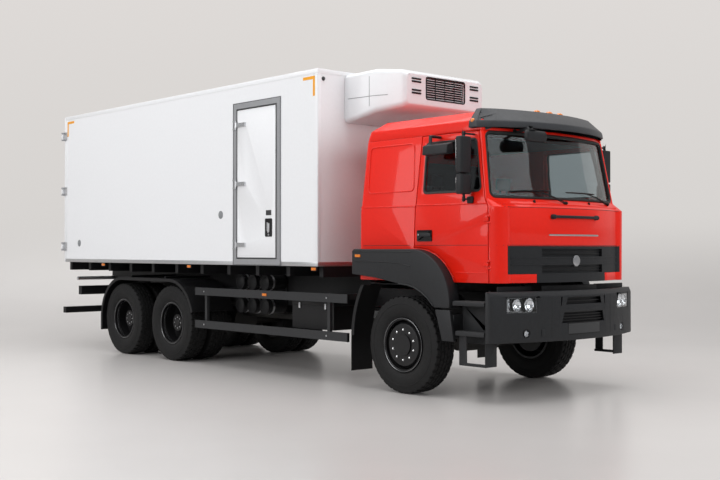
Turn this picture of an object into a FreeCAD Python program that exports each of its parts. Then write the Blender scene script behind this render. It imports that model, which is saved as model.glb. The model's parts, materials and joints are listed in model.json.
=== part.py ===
"""Refrigerated truck: a three-axle chassis, a tilting cab and an insulated body with a cooling unit.

The part's own frame has +X forward, +Y to the vehicle's left and +Z up. Its origin is on the
ground, at the middle of the vehicle's length and width. All lengths are in millimetres.
"""
import FreeCAD
import Part
import math
import os

# Driving sizes. "ahead" and "behind" count from the front axle, heights from the ground.
SIZES = {
    # axles and wheels
    "front_axle_x": 3265,           # front axle ahead of the origin
    "wheelbase": 4750,              # front axle to the first rear axle
    "bogie_spacing": 1350,          # first rear axle to the second
    "tyre_diameter": 1076,
    "tyre_width": 305,
    "tread_width": 262,
    "tread_depth": 14,
    "tyre_wall": 26,
    "rim_diameter": 572,            # at the bead seats
    "rim_flange": 13,               # flange height over the bead seat
    "rim_width": 226,               # between the flanges
    "rim_gauge": 12,
    "disc_radius": 232,             # flat part of a wheel disc
    "front_wheel_y": 1085,          # middle of the front tyre
    "front_disc_out": 112,          # face of the front disc outside the tyre's middle
    "twin_face_y": 900,             # face where the two rear discs meet
    "twin_spacing": 350,            # between the middles of the twin tyres
    "hub_radius": 118,
    "hub_cap_out": 26,              # front hub cap beyond the disc
    "rear_hub_out": 205,            # rear hub beyond the twin face
    "drum_radius": 206,
    "drum_width": 170,
    "spindle_radius": 42,
    # steering
    "kingpin_y": 872,
    "kingpin_radius": 24,
    "eye_radius": 46,               # eye of the axle beam around the kingpin
    "eye_height": 110,
    "fork_gauge": 34,
    "steering_arm": 210,            # kingpin to the tie rod's pin
    "tie_rod_radius": 19,
    "tie_pin_radius": 13,
    "running_gap": 0.3,             # pins and shafts in their bores, and seats
    "moving_gap": 8,                # between a moving piece and its neighbour
    # chassis frame
    "rail_top": 1110,
    "rail_height": 280,
    "rail_flange": 80,
    "rail_gauge": 10,
    "frame_width": 860,             # over the rails
    "rail_front": 1330,             # rail ends ahead of the front axle
    "rail_tail": 7790,              # rail ends behind the front axle
    "runner_height": 145,           # body runner on top of each rail
    "bearer_width": 70,
    "bearer_count": 11,
    # insulated body
    "body_front": 1376,             # front wall behind the front axle
    "body_length": 6555,
    "body_width": 2580,
    "body_floor_z": 1386,
    "body_top_z": 3758,
    "wall_gauge": 85,
    "floor_gauge": 92,
    "roof_gauge": 58,
    "rear_door_gauge": 80,
    "rear_frame_depth": 100,
    "rear_post": 80,
    "rear_header": 100,
    "rear_door_gap": 14,            # between the two rear leaves
    "rear_leaf_in": 30,             # leaf's outer face ahead of its lock rods' reach
    "door_seat_gap": 0.6,           # seal of a closed door to its seat
    "hinge_offset": 26,             # rear hinge axes out of the body's corner
    # side door in the right wall
    "side_door_rear": 3110,         # door frame behind the front axle
    "side_door_width": 1020,        # over the frame
    "side_door_top": 3500,
    "side_frame_width": 80,
    "side_frame_proud": 8,
    "side_leaf_gap": 14,
    "side_hinge_offset": 26,        # hinge axis out of the leaf's face
    # cooling unit
    "unit_front": 500,              # front face behind the front axle
    "unit_half_width": 870,
    "unit_face_half_width": 660,
    "unit_bottom": 3130,
    "unit_top": 3742,
    "unit_face_bottom": 3290,
    "unit_face_top": 3690,
    "unit_radius": 60,
    "grille_half_width": 330,
    "grille_bottom": 3390,
    "grille_top": 3640,
    # cab shell
    "cab_half_width": 1130,
    "cab_set_back": 75,             # origin of the cab's own lengths behind the front axle
    "cab_rear": 770,                # rear wall behind the front axle
    "cab_nose": 1510,               # foremost point ahead of the front axle
    "cab_floor_z": 1240,
    "belt_z": 2030,
    "screen_sill_z": 2120,
    "gutter_z": 2835,
    "roof_crease_z": 2955,
    "cab_roof_z": 3062,
    "cab_wall": 80,
    "cab_sill_wall": 53,            # the wall at the cab's lower edge, thin enough to pass the bumper
    "cab_door_gauge": 50,
    "cab_floor_gauge": 60,
    "cab_rear_radius": 70,
    "pillar_inset": 196,            # end of the front bow in from the side
    "door_front": 1236,             # cab door seam ahead of the front axle
    "door_rear": 200,
    "hinge_pin": 5,                 # cab door hinges: pin, half barrel and the relief around them
    "hinge_barrel_half": 20,
    "hinge_relief": 14,
    "door_stop": 34,                # stop flange around the cab door
    "window_rear": 290,
    "window_front": 1130,
    "window_bottom": 2200,
    "window_top": 2752,
    "glass_gauge": 7,
    "glass_inset": 16,
    "tunnel_half_width": 430,
    "tunnel_height": 200,
    "mirror_x": 1000,               # mirror tube ahead of the front axle
    "mirror_y": 1235,
    "cab_pivot_x": 1280,            # tilt axis ahead of the front axle
    "cab_pivot_z": 920,
    "cab_pivot_radius": 22,
    # grille, visor, bumper
    "grille_panel_bottom": 1332,
    "grille_panel_top": 1625,
    "grille_panel_half": 985,
    "grille_chin_half": 600,        # the lower middle of the panel, down to the cab's edge
    "grille_slot_half": 530,
    "visor_nose": 1435,
    "visor_lip_z": 2868,
    "visor_top_z": 3086,
    "visor_gauge": 26,
    "bumper_nose": 1550,
    "bumper_half_width": 1250,
    "bumper_end": 1285,             # outer ends ahead of the front axle
    "bumper_bottom": 630,
    "bumper_top": 1155,
    "bumper_gauge": 62,
    "bumper_chamfer": 52,
    "headlamp_inner": 705,
    "headlamp_outer": 1062,
    "headlamp_bottom": 938,
    "headlamp_top": 1096,
    "foglamp_y": 835,
    "foglamp_z": 722,
    "foglamp_radius": 42,
    # fenders, steps, guards
    "fender_y": 1250,
    "fender_gauge": 26,
    "fender_top": 1594,
    "fender_arc": 580,              # radius of the fender's front curve
    "fender_arc_x": 150,            # its centre ahead of the front axle
    "fender_gap": 14,               # between the fender and the door
    "fender_rear_bottom": 1305,
    "fender_rear": 812,
    "fender_toe_z": 970,
    "arch_radius": 660,
    "arch_gauge": 16,
    "step_y": 1250,
    "step_upper_z": 1048,
    "step_lower_z": 738,
    "step_depth": 190,
    "step_gauge": 46,
    "step_foot_z": 378,
    "flap_bottom": 190,
    "guard_y": 1222,
    "guard_front": 920,
    "guard_tail": 630,              # ahead of the first rear axle
    "guard_upper_z": 960,
    "guard_lower_z": 509,
    "guard_height": 104,
    "guard_gauge": 32,
    "mudguard_radius": 618,
    "mudguard_gauge": 14,
    "mudguard_y": 1250,
    "mudguard_inner": 560,
    # tanks and tail
    "air_tank_radius": 104,
    "air_tank_pitch": 280,
    "air_tank_length": 330,
    "fuel_tank_length": 1500,
    "fuel_tank_height": 560,
    "fuel_tank_depth": 600,
    "underrun_z": 540,
    "underrun_height": 100,
    "underrun_half_width": 1200,
    "underrun_tail": 8095,
    "underrun_depth": 90,
    # engine and driveline
    "engine_length": 1220,
    "engine_half_width": 330,
    "engine_bottom": 620,
    "engine_top": 1370,
    "engine_front": 980,
    "gearbox_length": 760,
    "gearbox_half_width": 200,
    "shaft_radius": 52,
    "axle_tube_radius": 72,
    "differential_radius": 205,
    "differential_half": 150,       # half its length along the truck
    "spring_width": 80,
}

doc = FreeCAD.newDocument("RefrigeratedTruck")
sheet = doc.addObject("Spreadsheet::Sheet", "Sizes")
for row, (alias, number) in enumerate(SIZES.items(), start=1):
    sheet.set(f"A{row}", alias)
    sheet.set(f"B{row}", str(number))
    sheet.setAlias(f"B{row}", alias)
doc.recompute()


class Length:
    """A length as a number, for outlines made here, and as a formula, for objects bound to the sheet."""

    def __init__(self, number, formula):
        self.number = number
        self.formula = formula

    def joined(self, sign, other, number):
        return Length(number, f"({self.formula} {sign} {other.formula})")

    def __add__(self, other):
        other = length(other)
        return self.joined("+", other, self.number + other.number)

    def __sub__(self, other):
        other = length(other)
        return self.joined("-", other, self.number - other.number)

    def __mul__(self, other):
        other = length(other)
        return self.joined("*", other, self.number * other.number)

    def __truediv__(self, other):
        other = length(other)
        return self.joined("/", other, self.number / other.number)

    def __radd__(self, other):
        return length(other) + self

    def __rsub__(self, other):
        return length(other) - self

    def __rmul__(self, other):
        return length(other) * self

    def __neg__(self):
        return length(-1) * self

    def __float__(self):
        return self.number


def length(value):
    """Any number as a Length."""
    return value if isinstance(value, Length) else Length(float(value), f"({float(value)})")


class Named:
    """Holds each size of the sheet under its own name."""


S = Named()
for alias in SIZES:
    setattr(S, alias, Length(float(sheet.get(alias)), f"Sizes.{alias}"))

RIGHT, LEFT = -1, 1
SIDES = ((RIGHT, "right"), (LEFT, "left"))
NODES = []
AXIS = {"x": FreeCAD.Vector(1, 0, 0), "y": FreeCAD.Vector(0, 1, 0), "z": FreeCAD.Vector(0, 0, 1)}
TURN = {
    "x": FreeCAD.Rotation(AXIS["y"], 90),
    "y": FreeCAD.Rotation(AXIS["x"], -90),
    "z": FreeCAD.Rotation(),
}


# ---- building blocks -------------------------------------------------------------------------

def add(kind, label):
    item = doc.addObject(kind, label.replace(" ", "_"))
    item.Label = label
    return item


def bind(item, **lengths):
    for name, value in lengths.items():
        item.setExpression(name.replace("_", "."), length(value).formula)


def place(item, x, y, z):
    bind(item, Placement_Base_x=x, Placement_Base_y=y, Placement_Base_z=z)


def ordered(pair):
    """The two ends of a span, the lower first."""
    return sorted((length(pair[0]), length(pair[1])), key=float)


def block(label, x, y, z):
    """A box between two ends on each axis."""
    spans = [ordered(pair) for pair in (x, y, z)]
    item = add("Part::Box", label)
    bind(item, Length=spans[0][1] - spans[0][0], Width=spans[1][1] - spans[1][0],
         Height=spans[2][1] - spans[2][0])
    place(item, spans[0][0], spans[1][0], spans[2][0])
    return item


def rod(label, axis, across, span, radius):
    """A cylinder along an axis: its centre on the other two axes, its two ends and its radius."""
    low, high = ordered(span)
    item = add("Part::Cylinder", label)
    bind(item, Radius=radius, Height=high - low)
    item.Placement = FreeCAD.Placement(FreeCAD.Vector(), TURN[axis])
    if axis == "x":
        place(item, low, across[0], across[1])
    elif axis == "y":
        place(item, across[0], low, across[1])
    else:
        place(item, across[0], across[1], low)
    return item


def point(plane, across, a, b):
    """A point of a plane, named by its two axes, at a distance along the third axis."""
    a, b, across = float(a), float(b), float(across)
    if plane == "xz":
        return FreeCAD.Vector(a, across, b)
    if plane == "yz":
        return FreeCAD.Vector(across, a, b)
    return FreeCAD.Vector(a, b, across)


def outline(plane, across, steps):
    """A closed wire through steps: a pair is a line's end, a pair of pairs an arc's middle and end."""
    here = point(plane, across, *steps[0])
    start = here
    edges = []
    for step in list(steps[1:]) + [steps[0]]:
        if isinstance(step[0], tuple):
            middle, end = (point(plane, across, *pair) for pair in step)
            edges.append(Part.Arc(here, middle, end).toShape())
        else:
            end = point(plane, across, *step)
            if (end - here).Length < 1e-6:
                continue
            edges.append(Part.LineSegment(here, end).toShape())
        here = end
    if (here - start).Length > 1e-6:
        edges.append(Part.LineSegment(here, start).toShape())
    return Part.Wire(edges)


def rounded(corners, radius):
    """Steps of a closed outline whose corners are all rounded to one radius."""
    steps = []
    count = len(corners)
    radius = float(radius)
    for index in range(count):
        before, here, after = (FreeCAD.Vector(float(p[0]), float(p[1]), 0) for p in
                               (corners[index - 1], corners[index], corners[(index + 1) % count]))
        inward = (before - here).normalize()
        onward = (after - here).normalize()
        half = inward.getAngle(onward) / 2
        setback = radius / math.tan(half)
        centre = here + (inward + onward).normalize() * (radius / math.sin(half))
        middle = centre + (here - centre).normalize() * radius
        first, last = here + inward * setback, here + onward * setback
        steps.append((first.x, first.y))
        steps.append(((middle.x, middle.y), (last.x, last.y)))
    return steps


def prism(label, plane, steps, span):
    """An outline in a plane, extruded between two ends on the third axis."""
    low, high = ordered(span)
    face = add("Part::Feature", f"{label} outline")
    face.Shape = Part.Face(outline(plane, low, steps))
    item = add("Part::Extrusion", label)
    item.Base = face
    item.DirMode = "Custom"
    item.Dir = AXIS[({"x", "y", "z"} - set(plane)).pop()]
    item.Solid = True
    bind(item, LengthFwd=high - low)
    return item


def spun(label, centre, steps):
    """An outline of (y, radius) pairs, turned about a wheel axis through centre (x, z)."""
    face = add("Part::Feature", f"{label} outline")
    lifted = []
    for step in steps:
        if isinstance(step[0], tuple):
            lifted.append(tuple((pair[0], pair[1] + centre[1]) for pair in step))
        else:
            lifted.append((step[0], step[1] + centre[1]))
    face.Shape = Part.Face(outline("yz", centre[0], lifted))
    item = add("Part::Revolution", label)
    item.Source = face
    item.Axis = AXIS["y"]
    item.Base = FreeCAD.Vector(float(centre[0]), 0, float(centre[1]))
    item.Angle = 360
    item.Solid = True
    return item


def loft(label, wires):
    """A solid with straight sides through a row of closed wires."""
    sections = []
    for number, wire in enumerate(wires, start=1):
        section = add("Part::Feature", f"{label} section {number}")
        section.Shape = wire
        sections.append(section)
    item = add("Part::Loft", label)
    item.Sections = sections
    item.Solid = True
    item.Ruled = True
    return item


def fuse(label, *pieces):
    item = add("Part::MultiFuse", label)
    item.Shapes = list(pieces)
    item.Refine = True
    return item


def cut(label, base, *tools):
    item = add("Part::Cut", label)
    item.Base = base
    item.Tool = tools[0] if len(tools) == 1 else fuse(f"{label} tools", *tools)
    item.Refine = True
    return item


def common(label, first, second):
    item = add("Part::Common", label)
    item.Base = first
    item.Tool = second
    item.Refine = True
    return item


def mirrored(label, piece):
    item = add("Part::Mirroring", label)
    item.Source = piece
    item.Normal = AXIS["y"]
    return item


def group(label, *pieces):
    item = add("Part::Compound", label)
    item.Links = list(pieces)
    return item


def both_sides(label, piece):
    """A piece and its mirror image on the other side, as one node."""
    return group(label, piece, mirrored(f"{label} far side", piece))


def node(item):
    """Marks a finished sub-part: its label names its file."""
    NODES.append(item)
    return item


# ---- places that several pieces share --------------------------------------------------------

front_x = S.front_axle_x
rear_axle_xs = (front_x - S.wheelbase, front_x - S.wheelbase - S.bogie_spacing)
bogie_x = front_x - S.wheelbase - S.bogie_spacing / 2
hub_z = S.tyre_diameter / 2
rail_y = S.frame_width / 2
rail_bottom = S.rail_top - S.rail_height
rail_middle = S.rail_top - S.rail_height / 2
runner_top = S.rail_top + S.runner_height
body_x = front_x - S.body_front
body_tail = body_x - S.body_length
body_y = S.body_width / 2
floor_top = S.body_floor_z + S.floor_gauge
roof_under = S.body_top_z - S.roof_gauge
wall_tail = body_tail + S.rear_door_gauge + S.door_seat_gap
cab_floor_top = S.cab_floor_z + S.cab_floor_gauge
pivot_x = front_x + S.cab_pivot_x
cab_x = front_x - S.cab_set_back
pivot_z = S.cab_pivot_z


# ---- chassis ---------------------------------------------------------------------------------

def chassis_frame():
    pieces = []
    front, tail = front_x + S.rail_front, front_x - S.rail_tail
    for side, word in SIDES:
        outer, inner = rail_y * side, (rail_y - S.rail_flange) * side
        pieces.append(block(f"rail web {word}", (tail, front), (outer, (rail_y - S.rail_gauge) * side),
                            (rail_bottom, S.rail_top)))
        pieces.append(block(f"rail top flange {word}", (tail, front), (outer, inner),
                            (S.rail_top - S.rail_gauge, S.rail_top)))
        pieces.append(block(f"rail bottom flange {word}", (tail, front), (outer, inner),
                            (rail_bottom, rail_bottom + S.rail_gauge)))
        pieces.append(block(f"bumper bracket {word}", (front, bumper_inside(rail_y) - 1),
                            (outer, inner), (rail_middle - 60, rail_middle + 60)))
    # crossmembers, each a closed section between the two rail webs
    for number, ahead in enumerate((1180, -1100, -1900, -3100, -4175, -5425, -6700, -7700), start=1):
        x = front_x + ahead
        pieces.append(block(f"crossmember {number}", (x - 45, x + 45),
                            (rail_y - S.rail_gauge, S.rail_gauge - rail_y),
                            (rail_middle - 80, rail_middle + 100)))
    # pins that carry the tilting cab, one out of each rail
    for side, word in SIDES:
        pieces.append(rod(f"cab pivot pin {word}", "y", (pivot_x, pivot_z),
                          ((rail_y - S.rail_gauge) * side, (rail_y + 126) * side), S.cab_pivot_radius))
    return node(fuse("chassis_frame", *pieces))


def bumper_inside(y):
    """How far forward the inside of the bowed bumper lies at a distance from the middle."""
    return front_x + S.bumper_nose - S.bumper_gauge - S.running_gap - bow(S.bumper_nose - S.bumper_end,
                                                                         S.bumper_half_width, y)


def bow(depth, half_width, y):
    """How far an arc of that depth over that half width has fallen back at y, as a parabola."""
    return depth * y * y / (half_width * half_width)


def box_subframe():
    pieces = []
    tail = wall_tail
    for side, word in SIDES:
        pieces.append(block(f"runner {word}", (tail, body_x), (rail_y * side, (rail_y - S.rail_flange) * side),
                            (S.rail_top, runner_top)))
    pitch = (body_x - tail - S.bearer_width) / (S.bearer_count - 1)
    for number in range(round(float(S.bearer_count))):
        x = tail + pitch * number
        pieces.append(block(f"bearer {number + 1}", (x, x + S.bearer_width),
                            (S.wall_gauge - body_y, body_y - S.wall_gauge), (runner_top, S.body_floor_z)))
    return node(fuse("box_subframe", *pieces))


def engine_block():
    front = front_x + S.engine_front
    web = rail_y - S.rail_gauge - S.running_gap
    block_ = block("engine", (front - S.engine_length, front), (-S.engine_half_width, S.engine_half_width),
                   (S.engine_bottom, S.engine_top))
    feet = block("engine feet", (front - S.engine_length / 2 - 60, front - S.engine_length / 2 + 60),
                 (-web, web), (rail_middle - 60, rail_middle + 20))
    return node(fuse("engine_block", block_, feet))


def driveline():
    gear_front = front_x + S.engine_front - S.engine_length - S.running_gap
    gear_rear = gear_front - S.gearbox_length
    gearbox = block("gearbox", (gear_rear, gear_front), (-S.gearbox_half_width, S.gearbox_half_width),
                    (S.engine_bottom + 40, S.rail_top - 60))
    pieces = [gearbox]
    shaft_z = hub_z + 110
    reach = S.differential_half + S.running_gap
    ends = ((gear_rear, rear_axle_xs[0] + reach), (rear_axle_xs[0] - reach, rear_axle_xs[1] + reach))
    shafts = []
    for number, (ahead, behind) in enumerate(ends, start=1):
        shafts.append(rod(f"shaft {number}", "x", (0, shaft_z), (behind, ahead), S.shaft_radius))
    pieces.append(shafts[0])
    drive = fuse("gearbox and long shaft", *pieces)
    return node(group("driveline", drive, shafts[1]))


def front_axle_beam():
    """A forged beam with a dropped middle, an eye around each kingpin and a pad under each spring."""
    low, high = hub_z - 62, hub_z + 18
    drop = 62
    spring_y = rail_y - S.spring_width / 2
    eye_low, eye_high = hub_z - S.eye_height / 2, hub_z + S.eye_height / 2
    end = S.kingpin_y - S.eye_radius * 0.6
    middle = block("beam middle", (front_x - 50, front_x + 50), (-spring_y + 90, spring_y - 90),
                   (low - drop, high - drop))
    pieces = [middle]
    for side, word in SIDES:
        pieces.append(prism(f"beam arm {word}", "yz",
                            [((spring_y - 90) * side, low - drop), ((spring_y - 90) * side, high - drop),
                             ((spring_y - 40) * side, high), (end * side, high), (end * side, eye_low + 7),
                             ((S.kingpin_y - 100) * side, eye_low + 7), ((spring_y + 40) * side, low)],
                            (front_x - 50, front_x + 50)))
        pieces.append(rod(f"kingpin eye {word}", "z", (front_x, S.kingpin_y * side), (eye_low, eye_high),
                          S.eye_radius))
        pieces.append(block(f"spring pad {word}", (front_x - 90, front_x + 90),
                            ((spring_y - 45) * side, (spring_y + 45) * side), (high - 20, high + 16)))
    bores = [rod(f"kingpin bore {word}", "z", (front_x, S.kingpin_y * side), (eye_low - 1, eye_high + 1),
                 S.kingpin_radius + S.running_gap) for side, word in SIDES]
    return node(cut("front_axle_beam", fuse("axle forging", *pieces), *bores))


def leaf_springs():
    """Front springs under the rails and bogie springs outside them, each with its shackles."""
    pad_top = hub_z + 34
    front_low = pad_top + S.running_gap
    pieces = []
    y_in, y_out = rail_y - S.spring_width, rail_y
    for side, word in SIDES:
        spring = prism(f"front spring {word}", "xz",
                       [(front_x - 780, rail_bottom - 70), ((front_x, front_low + 4), (front_x + 780, rail_bottom - 70)),
                        (front_x + 780, rail_bottom - 40), (front_x + 480, rail_bottom - 60),
                        (front_x + 200, front_low + 90), (front_x - 200, front_low + 90),
                        (front_x - 480, rail_bottom - 60), (front_x - 780, rail_bottom - 40)],
                       (y_in * side, y_out * side))
        saddle = block(f"front spring saddle {word}", (front_x - 80, front_x + 80), (y_in * side, y_out * side),
                       (front_low, front_low + 80))
        hangers = [block(f"front hanger {word} {end}", (front_x + end * 780 - 40, front_x + end * 780 + 40),
                         (y_in * side, y_out * side), (rail_bottom - 90, rail_bottom - S.running_gap))
                   for end in (-1, 1)]
        pieces.append(fuse(f"front spring set {word}", spring, saddle, *hangers))
    seat = hub_z + S.axle_tube_radius + S.running_gap
    half = S.bogie_spacing / 2
    near, far = rail_y + S.running_gap, rail_y + S.running_gap + S.spring_width
    for side, word in SIDES:
        span = (near * side, far * side)
        leaves = [block(f"bogie leaf {word} {number}", (bogie_x - half - 90 + number * 130, bogie_x + half + 90 - number * 130),
                        span, (seat + number * 30, seat + number * 30 + 30)) for number in range(4)]
        saddle = block(f"bogie saddle {word}", (bogie_x - 140, bogie_x + 140), span, (seat, rail_middle))
        pieces.append(fuse(f"bogie spring set {word}", saddle, *leaves))
    return node(group("leaf_springs", *pieces))


def rear_axles():
    axles = []
    for number, x in enumerate(rear_axle_xs, start=1):
        tube = rod(f"axle tube {number}", "y", (x, hub_z), (-(S.twin_face_y - S.drum_width - 40),
                                                             S.twin_face_y - S.drum_width - 40), S.axle_tube_radius)
        spindle = rod(f"axle spindle {number}", "y", (x, hub_z), (-(S.twin_face_y + 90), S.twin_face_y + 90),
                      S.spindle_radius)
        differential = rod(f"differential {number}", "x", (0, hub_z),
                           (x - S.differential_half, x + S.differential_half), S.differential_radius)
        axles.append(fuse(f"rear axle {number}", tube, spindle, differential))
    return node(group("rear_axles", *axles))


# ---- wheels and steering ---------------------------------------------------------------------

def tyre(label, x, middle, side):
    """A hollow tyre, open towards the rim, with its sidewalls bulging past the beads."""
    seat = S.rim_diameter / 2 + S.running_gap
    outer = hub_z
    bead = S.rim_width / 2 - S.running_gap
    half, crown, wall = S.tyre_width / 2, S.tread_width / 2, S.tyre_wall
    widest = seat + (outer - seat) * 0.47
    shoulder = outer - S.tread_depth
    heel = seat + S.rim_flange + 3
    outside = [(-bead, seat), (-bead, heel), (-half, widest), (-crown - 4, shoulder), (-crown + 12, outer), (crown - 12, outer),
               (crown + 4, shoulder), (half, widest), (bead, heel), (bead, seat)]
    inside = [(bead - wall, seat), (half - wall, widest), (crown - wall, outer - wall - S.tread_depth),
              (wall - crown, outer - wall - S.tread_depth), (wall - half, widest), (wall - bead, seat)]
    steps = [(middle * side + y, radius) for y, radius in outside + inside]
    return spun(label, (x, hub_z), steps)


def barrel(label, x, middle, side):
    """The rim that carries one tyre: bead seats, flanges and the barrel between them."""
    seat, half, gauge, flange = S.rim_diameter / 2, S.rim_width / 2, S.rim_gauge, S.rim_flange
    steps = [(half + gauge, seat - gauge), (half + gauge, seat + flange), (half, seat + flange), (half, seat),
             (-half, seat), (-half, seat + flange), (-half - gauge, seat + flange), (-half - gauge, seat - gauge)]
    return spun(label, (x, hub_z), [(middle * side + y, radius) for y, radius in steps])


def disc(label, x, side, face, root):
    """A wheel disc: its flat face at one distance from the middle, its rim end at another."""
    gauge = S.rim_gauge * 1.25
    edge = S.rim_diameter / 2 - S.rim_gauge + 2
    back = face - gauge
    steps = [(face, 0), (face, S.disc_radius), (root + gauge / 2, edge), (root - gauge / 2, edge),
             (back, S.disc_radius - 6), (back, 0)]
    return spun(label, (x, hub_z), [(y * side, radius) for y, radius in steps])


def front_wheel(side, word):
    middle = S.front_wheel_y
    face = middle + S.front_disc_out
    drum_in = middle - S.rim_width / 2 - 4
    node(tyre(f"front_tyre_{word}", front_x, middle, side)).Label = f"front_tyre_{word}"
    pieces = [
        barrel(f"front barrel {word}", front_x, middle, side),
        disc(f"front disc {word}", front_x, side, face, middle + 45),
        rod(f"front hub {word}", "y", (front_x, hub_z), (drum_in * side, (face + S.hub_cap_out) * side), S.hub_radius),
        rod(f"front drum {word}", "y", (front_x, hub_z), (drum_in * side, (drum_in + S.drum_width) * side),
            S.drum_radius),
    ]
    bore = rod(f"front spindle bore {word}", "y", (front_x, hub_z), ((drum_in - 1) * side, (face - 20) * side),
               S.spindle_radius + S.running_gap)
    return node(cut(f"front_rim_{word}", fuse(f"front wheel metal {word}", *pieces), bore))


def rear_wheel(number, x, side, word):
    inner, outer = S.twin_face_y - S.twin_spacing / 2, S.twin_face_y + S.twin_spacing / 2
    name = f"{number}_{word}"
    node(group(f"rear_tyres_{name}", tyre(f"inner tyre {name}", x, inner, side),
               tyre(f"outer tyre {name}", x, outer, side)))
    gauge = S.rim_gauge * 1.25
    drum_out = S.twin_face_y - gauge
    pieces = [
        barrel(f"inner barrel {name}", x, inner, side),
        barrel(f"outer barrel {name}", x, outer, side),
        disc(f"outer disc {name}", x, side, S.twin_face_y + gauge, outer - 75),
        disc(f"inner disc {name}", x, side, S.twin_face_y, inner + 75),
        rod(f"rear hub {name}", "y", (x, hub_z), (drum_out * side, (S.twin_face_y + S.rear_hub_out) * side),
            S.hub_radius),
        rod(f"rear drum {name}", "y", (x, hub_z), ((drum_out - S.drum_width) * side, drum_out * side),
            S.drum_radius),
    ]
    bore = rod(f"rear spindle bore {name}", "y", (x, hub_z),
               ((drum_out - S.drum_width - 1) * side, (S.twin_face_y + 100) * side), S.spindle_radius + S.running_gap)
    return node(cut(f"rear_rims_{name}", fuse(f"rear wheel metal {name}", *pieces), bore))


def knuckle(side, word):
    """Fork around the beam's eye, kingpin, stub axle and an arm back to the tie rod."""
    pin_y = S.kingpin_y
    fork_low = hub_z - S.eye_height / 2 - S.running_gap
    fork_high = hub_z + S.eye_height / 2 + S.running_gap
    web_y = pin_y + S.eye_radius + 6
    drum_in = S.front_wheel_y - S.rim_width / 2 - 4
    arm_end = front_x - S.steering_arm
    pieces = [
        rod(f"kingpin {word}", "z", (front_x, pin_y * side), (fork_low - 10, fork_high + 10), S.kingpin_radius),
        block(f"fork web {word}", (front_x - 60, front_x + 60), (web_y * side, (drum_in - 8) * side),
              (fork_low - S.fork_gauge, fork_high + S.fork_gauge)),
        rod(f"stub axle {word}", "y", (front_x, hub_z), (web_y * side, (S.front_wheel_y + S.front_disc_out - 60) * side),
            S.spindle_radius),
        prism(f"steering arm {word}", "xy",
              [(front_x + 45, (pin_y - 40) * side), (front_x + 45, (web_y + 4) * side), (front_x - 45, (web_y + 4) * side),
               (arm_end - 30, (pin_y + 26) * side), (arm_end - 30, (pin_y - 26) * side), (front_x - 60, (pin_y - 60) * side)],
              (fork_low - S.fork_gauge, fork_low)),
        prism(f"upper fork {word}", "xy",
              [(front_x + 45, (pin_y - 40) * side), (front_x + 45, (web_y + 4) * side),
               (front_x - 45, (web_y + 4) * side), (front_x - 45, (pin_y - 40) * side)],
              (fork_high, fork_high + S.fork_gauge)),
        rod(f"tie rod pin {word}", "z", (arm_end, pin_y * side), (fork_low - S.fork_gauge - 52, fork_low - S.fork_gauge),
            S.tie_pin_radius),
    ]
    return node(fuse(f"knuckle_{word}", *pieces))


def tie_rod():
    """The rod between the two steering arms, which stay parallel as the wheels turn."""
    arm_y = S.kingpin_y
    x = front_x - S.steering_arm
    top = hub_z - S.eye_height / 2 - S.running_gap - S.fork_gauge - 4
    z = top - 22
    bar = rod("tie rod bar", "y", (x, z), (-(arm_y - 30), arm_y - 30), S.tie_rod_radius)
    eyes = [rod(f"tie rod eye {word}", "z", (x, arm_y * side), (top - 44, top), S.tie_pin_radius + 20)
            for side, word in SIDES]
    bores = [rod(f"tie rod bore {word}", "z", (x, arm_y * side), (top - 45, top + 1),
                 S.tie_pin_radius + S.running_gap) for side, word in SIDES]
    return node(cut("tie_rod", fuse("tie rod forging", bar, *eyes), *bores))


# ---- insulated body --------------------------------------------------------------------------

def body_panels():
    side_in = body_y - S.wall_gauge
    door_x = front_x - S.side_door_rear
    node(block("box_floor", (wall_tail + S.rear_frame_depth, body_x - S.wall_gauge), (-side_in, side_in),
               (S.body_floor_z, floor_top)))
    node(block("box_roof", (wall_tail, body_x), (-body_y, body_y), (roof_under, S.body_top_z)))
    node(block("box_front_wall", (body_x - S.wall_gauge, body_x), (-side_in, side_in), (S.body_floor_z, roof_under)))
    node(block("box_left_wall", (wall_tail, body_x), (side_in, body_y), (S.body_floor_z, roof_under)))
    whole = block("right wall blank", (wall_tail, body_x), (-body_y, -side_in), (S.body_floor_z, roof_under))
    doorway = block("side doorway", (door_x, door_x + S.side_door_width), (-body_y - 1, -side_in + 1),
                    (S.body_floor_z - 1, S.side_door_top))
    node(cut("box_right_wall", whole, doorway))
    # portal at the rear, inside the walls
    outer = block("rear portal blank", (wall_tail, wall_tail + S.rear_frame_depth), (-side_in, side_in),
                  (S.body_floor_z, roof_under))
    opening = block("rear doorway", (wall_tail - 1, wall_tail + S.rear_frame_depth + 1),
                    (S.rear_post - side_in, side_in - S.rear_post), (floor_top, roof_under - S.rear_header))
    portal = cut("rear portal", outer, opening)
    pieces = [portal]
    for side, word in SIDES:
        for number, z in enumerate(hinge_heights(), start=1):
            pieces.append(rear_hinge_bracket(side, word, number, z))
    node(fuse("box_rear_frame", *pieces))


def hinge_heights():
    """Three hinges on each tall door of the body."""
    low, high = floor_top + 160, roof_under - 260
    return (low, (low + high) / 2, high)


rear_axis_x = body_tail + S.rear_leaf_in - 10
rear_axis_y = body_y + S.hinge_offset


def rear_hinge_bracket(side, word, number, z):
    """Pin of a rear hinge and the two lugs that hold it, on a plate on the wall's rear edge."""
    near = body_y + S.running_gap
    pin = rod(f"rear hinge pin {word} {number}", "z", (rear_axis_x, rear_axis_y * side), (z - 60, z + 60), 7)
    lugs = [block(f"rear hinge lug {word} {number} {end}", (rear_axis_x - 14, rear_axis_x + 22),
                  (near * side, (rear_axis_y + 14) * side), (z + end * 56 - 12, z + end * 56 + 12))
            for end in (-1, 1)]
    plate = block(f"rear hinge plate {word} {number}", (rear_axis_x + 18, wall_tail + 60),
                  (near * side, (body_y + 8) * side), (z - 68, z + 68))
    return fuse(f"rear hinge bracket {word} {number}", pin, plate, *lugs)


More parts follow.
